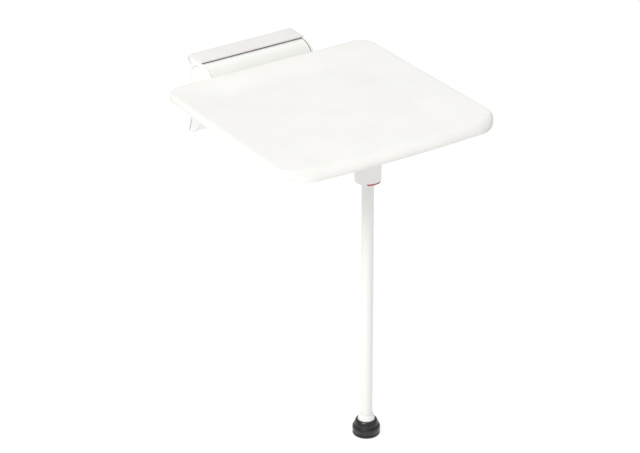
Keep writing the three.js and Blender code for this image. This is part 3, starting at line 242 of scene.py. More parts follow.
@dataclass(frozen=True)
class MouldedRubber:
    """Black vulcanised rubber.

    To the eye it is a deep grey black with blurred highlights: a fine pitting scatters them, and a
    pale bloom and dust lie in patches.
    """

    name: str = "vulcanised_rubber"
    colour: str = "1a1b1b"
    bloom: str = "2b2c2d"
    dust_mm: float = 9.0
    pit_mm: float = 0.7       # real pits are finer, drawn coarser so that they show
    pit_depth: float = 0.03

    def build(self) -> bpy.types.Material:
        """Build the node material.

        Returns:
            The finished material.
        """
        material, tree = start_material(self.name)
        place = add(tree, "TexCoord").outputs["Object"]
        dust = add(tree, "TexNoise", {"Vector": place, "Scale": per_metre(self.dust_mm), "Detail": 5.0})
        pits = add(tree, "TexNoise", {"Vector": place, "Scale": per_metre(self.pit_mm), "Detail": 2.0})
        tone = add(tree, "ValToRGB", {"Fac": dust.outputs["Fac"]})
        tone.color_ramp.elements[0].position = 0.42
        tone.color_ramp.elements[0].color = linear(self.colour)
        tone.color_ramp.elements[1].position = 0.78
        tone.color_ramp.elements[1].color = linear(self.bloom)
        gloss = add(tree, "MapRange", {"Value": dust.outputs["Fac"], "To Min": 0.18, "To Max": 0.36})
        bump = add(tree, "Bump", {
            "Height": pits.outputs["Fac"], "Strength": 1.0, "Distance": self.pit_depth * MM,
        })
        skin = add(tree, "BsdfPrincipled", {
            "Base Color": tone.outputs["Color"], "Roughness": gloss.outputs["Result"],
            "Normal": bump.outputs["Normal"], "IOR": 1.52,
        })
        add(tree, "OutputMaterial", {"Surface": skin.outputs["BSDF"]})
        return material


@dataclass(frozen=True)
class Metal:
    """Bare or plated steel.

    Brushed stainless shows fine straight lines that draw the highlight out across them. Zinc plate
    shows a dull blue-grey spangle.
    """

    name: str
    colour: str
    grain: Grain
    roughness: float
    line_mm: float = 0.5      # real brush lines are 0.05 mm apart, drawn ten times as coarse to show
    spangle_mm: float = 1.5   # real zinc crystals are finer, drawn coarser so that they show

    def build(self) -> bpy.types.Material:
        """Build the node material.

        Returns:
            The finished material.
        """
        material, tree = start_material(self.name)
        place = add(tree, "TexCoord").outputs["Object"]
        along = 0.02 if self.grain is Grain.BRUSHED else 1.0
        stretched = add(tree, "Mapping", {"Vector": place, "Scale": (along, 1.0, 1.0)})
        lines = add(tree, "TexNoise", {
            "Vector": stretched.outputs["Vector"], "Scale": per_metre(self.line_mm), "Detail": 2.0,
        })
        spangle = add(tree, "TexVoronoi", {"Vector": place, "Scale": per_metre(self.spangle_mm)})
        pattern = lines.outputs["Fac"] if self.grain is Grain.BRUSHED else spangle.outputs["Distance"]
        gloss = add(tree, "MapRange", {
            "Value": pattern, "To Min": self.roughness - 0.08, "To Max": self.roughness + 0.12,
        })
        bump = add(tree, "Bump", {"Height": pattern, "Strength": 0.6, "Distance": 0.01 * MM})
        skin = add(tree, "BsdfPrincipled", {
            "Base Color": linear(self.colour), "Metallic": 1.0, "Roughness": gloss.outputs["Result"],
            "Normal": bump.outputs["Normal"],
        })
        add(tree, "OutputMaterial", {"Surface": skin.outputs["BSDF"]})
        return material


# Each moulded finish gives its name, colour, cloud colour, roughness, and the stipple's spacing and
# depth in millimetres.

# A soft satin off-white, the duller of the whites.
SEAT_SKIN = MouldedPlastic("moulded_polyurethane_skin", "eeede9", "ebeae6", 0.46, 0.9, 0.016)
# A harder, brighter white, whose highlights are a little tighter.
HOUSING = MouldedPlastic("moulded_polyamide_housing", "f2f1ee", "efeeea", 0.42, 0.7, 0.012)
# A faintly pink grey-white that sets the strip off from the housing.
STRIP = MouldedPlastic("moulded_polyamide_strip", "e9e6e4", "e6e3e1", 0.45, 0.7, 0.012)
# A clean white that carries one long highlight along the barrel.
BARREL = MouldedPlastic("moulded_polyamide_barrel", "eeeeea", "ebebe7", 0.4, 0.7, 0.012)
# The brightest of the whites, with a trace of warmth.
SOCKET = MouldedPlastic("moulded_polyamide_socket", "f5f3f1", "f2f0ed", 0.4, 0.7, 0.012)
# A clear red under a thin gloss.
RED_INSERT = MouldedPlastic("moulded_red_insert", "b8332f", "ae2e2b", 0.35, 0.6, 0.01, coat=0.3)
# A dull mid grey, as natural bearing nylon is once it has been turned.
NYLON = MouldedPlastic("turned_bearing_nylon", "8d9094", "85888c", 0.5, 0.5, 0.02, cloud_mm=12.0)
# A light neutral grey with streaked highlights.
STAINLESS = Metal("brushed_stainless_steel", "c3c5c8", Grain.BRUSHED, 0.3)
# A darker, bluer grey with mottled highlights.
ZINC = Metal("zinc_plated_steel", "a9adb2", Grain.PLATED, 0.34)

FINISH_OF_SLOT = {
    "stainless_plate": STAINLESS,
    "bracket_white": HOUSING,
    "cover_strip": STRIP,
    "barrel_white": BARREL,
    "plated_steel": ZINC,
    "nylon": NYLON,
    "black_rubber": MouldedRubber(),
    "seat_white": SEAT_SKIN,
    "socket_white": SOCKET,
    "red_mark": RED_INSERT,
    "coated_tube": PowderCoat(),
}


@dataclass
class Wardrobe:
    """The built materials, one for each material slot of the record."""

    materials: dict[str, bpy.types.Material] = field(default_factory=dict)

    def of(self, slot: str) -> bpy.types.Material:
        """Give the material of a slot, built the first time it is asked for.

        Args:
            slot: the record's material slot.

        Returns:
            The material.
        """
        if slot not in self.materials:
            self.materials[slot] = FINISH_OF_SLOT[slot].build()
        return self.materials[slot]


# ------------------------------------------------------------------ surfaces


def quarter(steps: int) -> np.ndarray:
    """Give evenly spaced angles from nothing to a right angle."""
    return np.linspace(0.0, QUARTER, steps + 1)


@dataclass
class Outline:
    """A closed line in a plane, with the outward direction at each of its points."""

    points: np.ndarray
    normals: np.ndarray

    @classmethod
    def rounded(
        cls, corners: Sequence[tuple[float, float, float]], pitch: float, steps: int = 12,
    ) -> "Outline":
        """Draw a polygon with round corners.

        Each corner becomes an arc tangent to its two sides, and the straight stretches get points no
        further apart than the pitch, shared out evenly.

        Args:
            corners: (a, b, radius) for each corner, anticlockwise.
            pitch: the widest spacing on a straight stretch.
            steps: the number of steps in each arc.

        Returns:
            The outline.
        """
        place = np.array([corner[:2] for corner in corners], float)
        radius = np.array([corner[2] for corner in corners], float)[:, None]
        side = np.roll(place, -1, axis=0) - place
        side /= np.linalg.norm(side, axis=1)[:, None]
        out = np.stack([side[:, 1], -side[:, 0]], axis=1)
        before = np.roll(out, 1, axis=0)
        turn = np.arctan2(
            before[:, 0] * out[:, 1] - before[:, 1] * out[:, 0], (before * out).sum(axis=1),
        )
        middle = before + out
        middle /= np.linalg.norm(middle, axis=1)[:, None]
        centre = place - middle * radius / np.cos(turn / 2)[:, None]
        start = np.arctan2(before[:, 1], before[:, 0])
        angle = start[:, None] + turn[:, None] * np.linspace(0, 1, steps + 1)
        arc_normals = np.stack([np.cos(angle), np.sin(angle)], axis=2)
        arcs = centre[:, None, :] + radius[:, :, None] * arc_normals
        points, normals = [], []
        for i in range(len(corners)):
            points.append(arcs[i])
            normals.append(arc_normals[i])
            end, begin = arcs[i, -1], arcs[(i + 1) % len(corners), 0]
            cuts = int(np.linalg.norm(begin - end) / pitch)
            share = np.linspace(0, 1, cuts + 2)[1:-1, None]
            points.append(end + (begin - end) * share)
            normals.append(np.repeat(out[i][None, :], cuts, axis=0))
        return cls(np.concatenate(points), np.concatenate(normals))

    def inset(self, distance: np.ndarray | float) -> np.ndarray:
        """Move every point inwards along its normal by a distance, one for all or one for each."""
        return self.points - self.normals * np.reshape(distance, (-1, 1))


def rounded_profile(corners: Sequence[tuple[float, float, float]], steps: int = 5) -> np.ndarray:
    """Draw an open line through corners, each inner one rounded by an arc tangent to both sides.

    Args:
        corners: (a, b, radius) for each corner, where a radius of nothing keeps the corner sharp.
        steps: the number of steps in each arc.

    Returns:
        The points of the line.
    """
    place = np.array([corner[:2] for corner in corners], float)
    line = [place[0]]
    for i in range(1, len(corners) - 1):
        radius = corners[i][2]
        if radius == 0:
            line.append(place[i])
            continue
        back = place[i - 1] - place[i]
        on = place[i + 1] - place[i]
        back, on = back / np.linalg.norm(back), on / np.linalg.norm(on)
        half = math.acos(float(np.clip(back @ on, -1, 1))) / 2
        centre = place[i] + (back + on) / np.linalg.norm(back + on) * radius / math.sin(half)
        first = place[i] + back * radius / math.tan(half)
        last = place[i] + on * radius / math.tan(half)
        share = np.linspace(0, 1, steps + 1)[:, None]
        spokes = (first - centre) * (1 - share) + (last - centre) * share
        line.extend(centre + radius * spokes / np.linalg.norm(spokes, axis=1)[:, None])
    line.append(place[-1])
    return np.array(line)


def surface(
    name: str, rings: np.ndarray, ends: Ends, sharp_degrees: float = 35.0,
) -> bpy.types.Object:
    """Make a closed mesh from a grid of points, each row a closed ring.

    Args:
        name: the piece's name.
        rings: points as an array of rows by columns by three.
        ends: how the first and last row are closed.
        sharp_degrees: edges that turn by more than this stay sharp.

    Returns:
        The piece, with its faces outwards.
    """
    rows, columns, _ = rings.shape
    spans = rows if ends is Ends.LOOPED else rows - 1
    i, j = np.meshgrid(np.arange(spans), np.arange(columns), indexing="ij")
    below, above = (i % rows) * columns, ((i + 1) % rows) * columns
    beside = (j + 1) % columns
    quads = np.stack([below + j, below + beside, above + beside, above + j], axis=2).reshape(-1, 4)
    faces = quads.tolist()
    if ends is Ends.CAPPED:
        faces.append(list(range(columns)))
        faces.append(list(range((rows - 1) * columns, rows * columns)))
    mesh = bpy.data.meshes.new(name)
    mesh.from_pydata(rings.reshape(-1, 3).tolist(), [], faces)
    return finished(name, mesh, sharp_degrees)


def shown(name: str, mesh: bpy.types.Mesh, sharp_degrees: float) -> bpy.types.Object:
    """Shade a mesh smooth except at its sharp edges, and put it in the scene.

    Args:
        name: the piece's name.
        mesh: its mesh.
        sharp_degrees: edges that turn by more than this stay sharp.

    Returns:
        The piece.
    """
    mesh.shade_smooth()
    mesh.set_sharp_from_angle(angle=math.radians(sharp_degrees))
    piece = bpy.data.objects.new(name, mesh)
    bpy.context.scene.collection.objects.link(piece)
    return piece


def finished(name: str, mesh: bpy.types.Mesh, sharp_degrees: float) -> bpy.types.Object:
    """Merge a mesh's doubles, turn its faces outwards, smooth it and put it in the scene.

    Args:
        name: the piece's name.
        mesh: the mesh to finish.
        sharp_degrees: edges that turn by more than this stay sharp.

    Returns:
        The piece.
    """
    work = bmesh.new()
    work.from_mesh(mesh)
    bmesh.ops.remove_doubles(work, verts=work.verts, dist=WELD)
    bmesh.ops.dissolve_degenerate(work, edges=work.edges, dist=WELD)
    bmesh.ops.recalc_face_normals(work, faces=work.faces)
    work.to_mesh(mesh)
    work.free()
    return shown(name, mesh, sharp_degrees)


def turned(
    name: str, profile: np.ndarray, axis: Axis, centre: Sequence[float], ends: Ends, segments: int = 96,
) -> bpy.types.Object:
    """Turn a profile of (radius, place along the axis) points round an axis.

    A point at angle t lies at radius * (cos t, sin t) across the axis, and at its own place along it.

    Args:
        name: the piece's name.
        profile: the profile's points.
        axis: the axis it turns round.
        centre: a point on that axis; profile places are measured from it.
        ends: how the profile is closed.
        segments: the number of steps round the axis.

    Returns:
        The piece.
    """
    angle = np.linspace(0, 2 * math.pi, segments, endpoint=False)
    across = profile[:, :1] * np.cos(angle)
    up = profile[:, :1] * np.sin(angle)
    along = np.repeat(profile[:, 1:], segments, axis=1)
    grid = np.stack([across, up, along], axis=2)
    return surface(name, grid[:, :, axis.value] + np.array(centre), ends)


def smooth_copy(node: str, name: str, edge: float) -> bpy.types.Object:
    """Copy a CAD node as a piece with merged corners, flat faces and softened edges.

    Args:
        node: the CAD node.
        name: the piece's name.
        edge: width of the rounding along its edges.

    Returns:
        The piece, which isn't dressed yet.
    """
    mesh = frame["nodes"][node].data.copy()
    mesh.materials.clear()
    work = bmesh.new()
    work.from_mesh(mesh)
    bmesh.ops.remove_doubles(work, verts=work.verts, dist=CAD_WELD)
    bmesh.ops.dissolve_limit(
        work, angle_limit=math.radians(FLAT_DEGREES), verts=work.verts, edges=work.edges,
    )
    work.to_mesh(mesh)
    work.free()
    piece = shown(name, mesh, CAD_SHARP_DEGREES)
    bevel = piece.modifiers.new("soft_edges", "BEVEL")
    bevel.width = edge
    bevel.segments = 2
    bevel.limit_method = "ANGLE"
    bevel.angle_limit = math.radians(ROUND_DEGREES)
    bevel.harden_normals = True
    return piece


def joint_place(name: str) -> Sequence[float]:
    """Give the place of one of the frame's joints."""
    return next(joint["pos_m"] for joint in frame["joints"] if joint["name"] == name)


def across_width(rings: Sequence[tuple[np.ndarray, float]]) -> np.ndarray:
    """Stack flat (y, z) rings, each at its own x, as one grid of points."""
    return np.stack([np.column_stack([np.full(len(flat), x), flat]) for flat, x in rings])


@dataclass
class Dresser:
    """Puts a piece on its body, gives it its finish and hides the CAD nodes it stands for."""

    wardrobe: Wardrobe
    body: str

    def dress(self, piece: bpy.types.Object, slot: str, *nodes: str) -> None:
        """Dress one piece.

        Args:
            piece: the piece.
            slot: the record's material slot that it takes its finish from.
            nodes: the CAD nodes that it stands for.
        """
        piece.data.materials.append(self.wardrobe.of(slot))
        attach(piece, self.body)
        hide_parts(*nodes)
        log.info("%s: %d faces, rides on %s", piece.name, len(piece.data.polygons), self.body)

    def soften(self, slot: str, edge: float, *nodes: str) -> None:
        """Stand a smooth copy in for each of some CAD nodes.

        Args:
            slot: their material slot.
            edge: width of the rounding along their edges.
            nodes: the CAD nodes.
        """
        for node in nodes:
            self.dress(smooth_copy(node, node + "_soft", edge), slot, node)


# ------------------------------------------------------------------ bracket on the wall


@dataclass
class Bracket:
    """The moulded housing on the wall: cheeks, trough, top cover, lower cover and hinge caps."""

    wardrobe: Wardrobe
    cheek_radius: float = 29.4 * MM
    cheek_wall: float = 3.1 * MM
    cheek_edge: float = 2.4 * MM
    front_drop: float = 18.4 * MM
    toe_reach: float = 18.4 * MM
    toe_rise: float = 9.9 * MM
    toe_radius: float = 13.0 * MM
    cover_end_run: float = 6.0 * MM
    cover_end_fall: float = 2.4 * MM
    cover_front_run: float = 2.2 * MM
    cover_front_fall: float = 1.8 * MM
    pocket_depth: float = 1.5 * MM
    trough_room: float = 0.6 * MM       # between the barrel and its trough
    trough_wall: float = 3.0 * MM       # below the trough, above the deep pocket
    trough_lip: float = 2.5 * MM        # where the trough ends below the bracket's top
    rim_run: float = 6.0 * MM           # flat stretch at each end of the slant
    recess_start: float = 13.0 * MM     # the lower cover's recess lies this far from those ends
    recess_depth: float = 3.3 * MM
    plate_room: float = 0.6 * MM        # round the steel plate
    shallow_pocket: float = 4.2 * MM    # behind the trough
    deep_pocket: float = 9.0 * MM       # and below it
    core_bite: float = 0.2 * MM         # how far the housing reaches into each cheek
    half: float = field(init=False)
    top: float = field(init=False)
    base: float = field(init=False)
    front: float = field(init=False)
    hinge: np.ndarray = field(init=False)

    def __post_init__(self) -> None:
        """Take the bracket's extents and its hinge axis, as (y, z), from the frame."""
        low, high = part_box("bracket_body")
        self.half, self.top = high.x, high.z
        self.base, self.front = low.z, low.y
        self.hinge = np.array([self.front + self.cheek_radius, self.top - self.cheek_radius])

    def build(self) -> None:
        """Build and dress every piece of the bracket."""
        dresser = Dresser(self.wardrobe, "wall_mount")
        for side, name in ((-1, "left"), (1, "right")):
            dresser.dress(self.cheek(side, f"{name}_cheek"), "bracket_white", "bracket_body")
            dresser.dress(self.cap(side, f"{name}_cap"), "bracket_white", f"{name}_hinge_cap")
        dresser.dress(self.core(), "bracket_white", "bracket_body")
        dresser.dress(self.top_cover(), "cover_strip", "top_cover")
        # a dark lip of painted shade in the shadowed gap under the strip's front edge
        dresser.dress(self.gap_shade_lip(), "black_rubber", "top_cover")
        dresser.soften("bracket_white", 0.6 * MM, "lower_cover")
        dresser.soften("black_rubber", 0.8 * MM, "left_stop_pad", "right_stop_pad")
        dresser.soften("stainless_plate", 0.4 * MM, "wall_plate")
        dresser.soften("plated_steel", 0.2 * MM, "left_fixing_screw", "right_fixing_screw")

    def slant_ends(self) -> tuple[np.ndarray, np.ndarray]:
        """Give the upper and the lower end of the slanted front, as (y, z)."""
        upper = np.array([self.front, self.hinge[1] - self.front_drop])
        return upper, np.array([-self.toe_reach, self.base + self.toe_rise])

    def slant(self, along: float, inwards: float) -> np.ndarray:
        """Give a point by its place on the slanted front.

        Args:
            along: its distance down the slant.
            inwards: its distance behind the slant, square to it.

        Returns:
            The point, as (y, z).
        """
        start, end = self.slant_ends()
        down = (end - start) / np.linalg.norm(end - start)
        return start + down * along + np.array([-down[1], down[0]]) * inwards

    def toe(self) -> tuple[float, float]:
        """Give the place where the slanted front's line meets the bracket's lower end.

        Returns:
            The place, as (y, z).
        """
        start, end = self.slant_ends()
        slope = (end[0] - start[0]) / (end[1] - start[1])
        return float(end[0] + slope * (self.base - end[1])), self.base

    def cheek(self, side: int, name: str) -> bpy.types.Object:
        """Make one cheek: a flat wall with a rounded outer edge and a round pocket for its cap.

        The rings run from the inner face, over the outline, whose rounding is a quarter circle across
        the wall's thickness, to the rim of the pocket and down to its floor. Each ring point on the
        pocket lies in the direction of its outline point from the pocket's centre.

        Args:
            side: -1 for the left cheek and 1 for the right one.
            name: the piece's name.

        Returns:
            The cheek.
        """
        toe_y, toe_z = self.toe()
        shoulder = self.slant(0, 0)
        outline = Outline.rounded([
            (0.0, self.top, 0.4 * MM),
            (self.front, self.top, self.cheek_radius - 0.01 * MM),
            (shoulder[0], shoulder[1], 8 * MM),
            (toe_y, toe_z, self.toe_radius),
            (0.0, self.base, 0.4 * MM),
        ], 2 * MM, 24)
        low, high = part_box("left_hinge_cap")
        centre = np.array([low.y + high.y, low.z + high.z]) / 2
        pocket = (high.y - low.y) / 2 + GAP
        inner = self.half - self.cheek_wall
        spokes = outline.points - centre
        spokes = spokes / np.linalg.norm(spokes, axis=1)[:, None]
        wall_side = outline.normals[:, 0] > 0.5
        run = np.where(wall_side, 0.2 * MM, self.cheek_edge)
        rings = [(outline.inset(0.3 * MM), inner), (outline.inset(0.0), inner + 0.3 * MM)]
        for turn in quarter(8):
            rings.append((
                outline.inset(run * (1 - math.cos(turn))), self.half - run * (1 - math.sin(turn)),
            ))
        rings.append((centre + spokes * (pocket + 0.3 * MM), self.half))
        rings.append((centre + spokes * pocket, self.half - 0.3 * MM))
        rings.append((centre + spokes * pocket, self.half - self.pocket_depth))
        grid = np.stack([
            np.column_stack([side * (x + np.zeros(len(flat))), flat]) for flat, x in rings
        ])
        return surface(name, grid, Ends.CAPPED)

    def cap(self, side: int, name: str) -> bpy.types.Object:
        """Make one round hinge cap: a disc with a rounded rim and a face that rises a hair.

        Args:
            side: -1 for the left cap and 1 for the right one.
            name: the piece's name.

        Returns:
            The cap.
        """
        low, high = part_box(f"{'left' if side < 0 else 'right'}_hinge_cap")
        radius = (high.y - low.y) / 2
        back, face = self.half - (high.x - low.x), self.half
        profile = rounded_profile([
            (0, side * back, 0),
            (radius - 0.2 * MM, side * back, 0),
            (radius, side * face, 0.5 * MM),
            (radius * 0.6, side * (face + 0.1 * MM), 4 * MM),
            (0, side * (face + 0.1 * MM), 0),
        ], 6)
        centre = (0, (low.y + high.y) / 2, (low.z + high.z) / 2)
        return turned(name, profile, Axis.X, centre, Ends.POLES, 120)

    def core(self) -> bpy.types.Object:
        """Make the housing between the cheeks: one outline in (y, z) carried across the width.

        The outline runs down the wall side, round the toe, up the slant with its recess for the lower
        cover, over the front rim and round the trough. Across the middle of the width its wall side
        steps in by the depth of the pockets for the steel plate.

        Returns:
            The housing.
        """
        low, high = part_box("wall_plate")
        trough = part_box("hinge_barrel")[1].z - self.hinge[1] + self.trough_room
        toe_y, toe_z = self.toe()
        start, end = self.slant_ends()
        length = float(np.linalg.norm(start - end))
        rim_z = float(self.slant(self.rim_run, 0)[1])
        rim_y = self.hinge[0] - math.sqrt(trough ** 2 - (rim_z - self.hinge[1]) ** 2)
        lip_z = self.top - self.trough_lip
        lip_y = self.hinge[0] + math.sqrt(trough ** 2 - (lip_z - self.hinge[1]) ** 2)
        first = math.atan2(lip_z - self.hinge[1], lip_y - self.hinge[0])
        last = math.atan2(rim_z - self.hinge[1], rim_y - self.hinge[0])
        angle = np.linspace(first, last, 49)
        arc = self.hinge + trough * np.stack([np.cos(angle), np.sin(angle)], axis=1)
        plate_top, plate_low = high.z + self.plate_room, low.z - self.plate_room
        step_z = self.hinge[1] - trough - self.trough_wall
        under_cover = self.top - 0.1 * MM

        def section(shallow: float, deep: float) -> np.ndarray:
            """Draw the outline with its wall side stepped in.

            Args:
                shallow: the step behind the trough.
                deep: the step below it.

            Returns:
                The outline's points, as (y, z).
            """
            return np.array([
                (0.0, under_cover), (0.0, plate_top), (-shallow, plate_top), (-shallow, step_z),
                (-deep, step_z), (-deep, plate_low), (0.0, plate_low),
                (0.0, toe_z), (toe_y * 0.55, toe_z),
                tuple(self.slant(length - self.rim_run, 0)),
                tuple(self.slant(length - self.recess_start, 0)),
                tuple(self.slant(length - self.recess_start, self.recess_depth)),
                tuple(self.slant(self.recess_start, self.recess_depth)),
                tuple(self.slant(self.recess_start, 0)), tuple(self.slant(self.rim_run, 0)),
                *[tuple(point) for point in arc[::-1]], (lip_y, under_cover),
            ])

        side = high.x + self.plate_room
        width = self.half - self.cheek_wall + self.core_bite
        plain = section(0.02 * MM, 0.04 * MM)
        pocketed = section(self.shallow_pocket, self.deep_pocket)
        grid = across_width([
            (plain, -width), (plain, -side), (pocketed, -side),
            (pocketed, side), (plain, side), (plain, width),
        ])
        return surface("bracket_core", grid, Ends.CAPPED, 30)

    def top_cover(self) -> bpy.types.Object:
        """Make the strip on top: a section in (y, z) at stations across the width.

        Near each end the stations follow a quarter ellipse, x = half - run (1 - cos t), along which
        the section's height falls by fall (1 - sin t). Each section's own front edge is rounded by
        a second quarter ellipse.

        Returns:
            The cover.
        """
        low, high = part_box("top_cover")
        under = self.top + GAP
        turn = quarter(8)
        right = high.x - self.cover_end_run * (1 - np.cos(turn))
        fallen = self.cover_end_fall * (1 - np.sin(turn))
        level = np.linspace(-right[-1], right[-1], 9)[1:-1]
        places = np.concatenate([-right, level, right[::-1]])
        falls = np.concatenate([fallen, np.zeros(len(level)), fallen[::-1]])
        rings = []
        for x, fall in zip(places, falls):
            top = high.z - fall
            drop = min(self.cover_front_fall, top - under - 0.2 * MM)
            front = low.y + self.cover_front_run * (1 - np.cos(turn))
            section = np.concatenate([
                [(high.y, under), (low.y + 0.2 * MM, under)],
                np.column_stack([front, top - drop * (1 - np.sin(turn))]),
                [(high.y, top)],
            ])
            rings.append((section, x))
        return surface("top_strip", across_width(rings), Ends.CAPPED, 40)

    def gap_shade_lip(self) -> bpy.types.Object:
        """Make the dark lip under the strip's front edge, just above the barrel: painted shade for the shadowed
        gap there, in the black rubber finish.

        Returns:
            The lip.
        """
        low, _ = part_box("top_cover")
        barrel_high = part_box("hinge_barrel")[1]
        back = low.y + 3 * MM
        section = rounded_profile([
            (back, self.top + 0.2 * MM, 0), (low.y + 0.7 * MM, self.top + 0.2 * MM, 0),
            (low.y + 0.7 * MM, barrel_high.z + 0.35 * MM, 0.4 * MM),
            (back, barrel_high.z + 0.35 * MM, 0),
        ], 3)
        half = self.half - self.cheek_wall - GAP
        return surface("cover_gap_shade_lip", across_width([(section, -half), (section, half)]), Ends.CAPPED, 40)


# ------------------------------------------------------------------ hinge barrel and carrier


@dataclass
class Hinge:
    """The barrel that turns in the bracket, its tongue and the steel carrier under the seat."""

    wardrobe: Wardrobe
    recess_radius: float = 20.6 * MM
    recess_depth: float = 8.9 * MM
    bore: float = 10.0 * MM
    edge: float = 0.9 * MM
    # thickness of the dark rings of painted shade at the barrel's ends
    gap_shade_thickness: float = 0.7 * MM
    swing_gap: float = 2.1 * MM         # between the tongue's riser and the seat's rear edge
    root_reach: float = 20.0 * MM       # where the tongue leaves the barrel, in front of the axis
    front_reach: float = 29.4 * MM      # the bracket's front, in front of the axis
    root_top: float = 1.5 * MM          # the root's upper and lower face, below the axis
    root_drop: float = 18.5 * MM
    soft_edge: float = 0.7 * MM

    def build(self) -> None:
        """Build and dress every piece of the hinge and of the carrier."""
        dresser = Dresser(self.wardrobe, "seat")
        dresser.dress(self.barrel(), "barrel_white", "hinge_barrel")
        dresser.dress(self.tongue(), "barrel_white", "hinge_barrel")
        # dark rings of painted shade that fill the shadowed gaps at the barrel's ends
        for side, name in ((-1, "left"), (1, "right")):
            dresser.dress(self.end_gap_shade(side, f"{name}_end_gap_shade"), "black_rubber", "hinge_barrel")
        dresser.soften("stainless_plate", 0.6 * MM, "left_rail", "right_rail", "socket_plate")
        sides = ("left", "right")
        bolts = [f"{side}_rail_bolt_{i}" for side in sides for i in (1, 2)]
        screws = [f"{side}_seat_screw_{i}" for side in sides for i in (1, 2, 3)]
        fixings = bolts + screws + [f"socket_screw_{i}" for i in (1, 2, 3, 4)]
        dresser.soften("plated_steel", 0.2 * MM, *fixings)

    def barrel(self) -> bpy.types.Object:
        """Make the barrel: a closed profile turned round the hinge axis, hollow at each end.

        Returns:
            The barrel.
        """
        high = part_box("hinge_barrel")[1]
        centre = joint_place("seat_fold")
        radius = high.z - centre[2]
        end, floor = high.x, high.x - self.recess_depth
        profile = rounded_profile([
            (self.bore, -floor, 0), (self.recess_radius, -floor, 0.3 * MM),
            (self.recess_radius, -end, 0.3 * MM), (radius, -end, self.edge),
            (radius, end, self.edge), (self.recess_radius, end, 0.3 * MM),
            (self.recess_radius, floor, 0.3 * MM), (self.bore, floor, 0),
        ], 6)
        return turned("barrel_shell", profile, Axis.X, (0, centre[1], centre[2]), Ends.LOOPED, 160)

    def end_gap_shade(self, side: int, name: str) -> bpy.types.Object:
        """Make the flat dark ring that fills most of the gap at one end of the barrel: painted shade for that
        shadowed gap, in the black rubber finish.

        Args:
            side: -1 for the left end and 1 for the right one.
            name: the piece's name.

        Returns:
            The ring.
        """
        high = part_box("hinge_barrel")[1]
        centre = joint_place("seat_fold")
        outer = high.z - centre[2] - 0.5 * MM
        inner = self.recess_radius + 0.3 * MM
        near, far = side * (high.x - 0.1 * MM), side * (high.x + 0.6 * MM)
        profile = np.array([(inner, near), (outer, near), (outer, far), (inner, far)])
        return turned(name, profile, Axis.X, (0, centre[1], centre[2]), Ends.LOOPED, 120)

    def tongue(self) -> bpy.types.Object:
        """Make the tongue: an outline in (y, z) with round corners carried across its width.

        It leaves the barrel below the hinge axis, steps up behind the seat's rear edge and ends as the
        plate that the seat is screwed to.

        Returns:
            The tongue.
        """
        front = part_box("hinge_barrel")[0].y
        _, hinge_y, hinge_z = joint_place("seat_fold")
        plate_low, plate_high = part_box("socket_plate")
        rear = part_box("seat_shell")[1].y - self.swing_gap
        root = hinge_y - self.root_reach
        outline = Outline.rounded([
            (root, hinge_z - self.root_top, 0.1 * MM),
            (rear, hinge_z - self.root_top, 1.0 * MM),
            (rear, plate_high.z, 0.6 * MM),
            (front, plate_high.z, 0.6 * MM),
            (front, plate_low.z, 0.6 * MM),
            (rear - 8 * MM, plate_low.z, 2 * MM),
            (hinge_y - self.front_reach + 4 * MM, hinge_z - self.root_drop, 3 * MM),
            (root, hinge_z - self.root_drop, 0.1 * MM),
        ], 4 * MM, 5)
        rings = []
        for side, turns in ((-1, quarter(4)), (1, quarter(4)[::-1])):
            for turn in turns:
                flat = outline.inset(self.soft_edge * (1 - math.sin(turn)))
                rings.append((flat, side * (plate_high.x - self.soft_edge * (1 - math.cos(turn)))))
        grid = across_width(rings)
        return surface("barrel_tongue", grid, Ends.CAPPED)


# ------------------------------------------------------------------ moulded seat


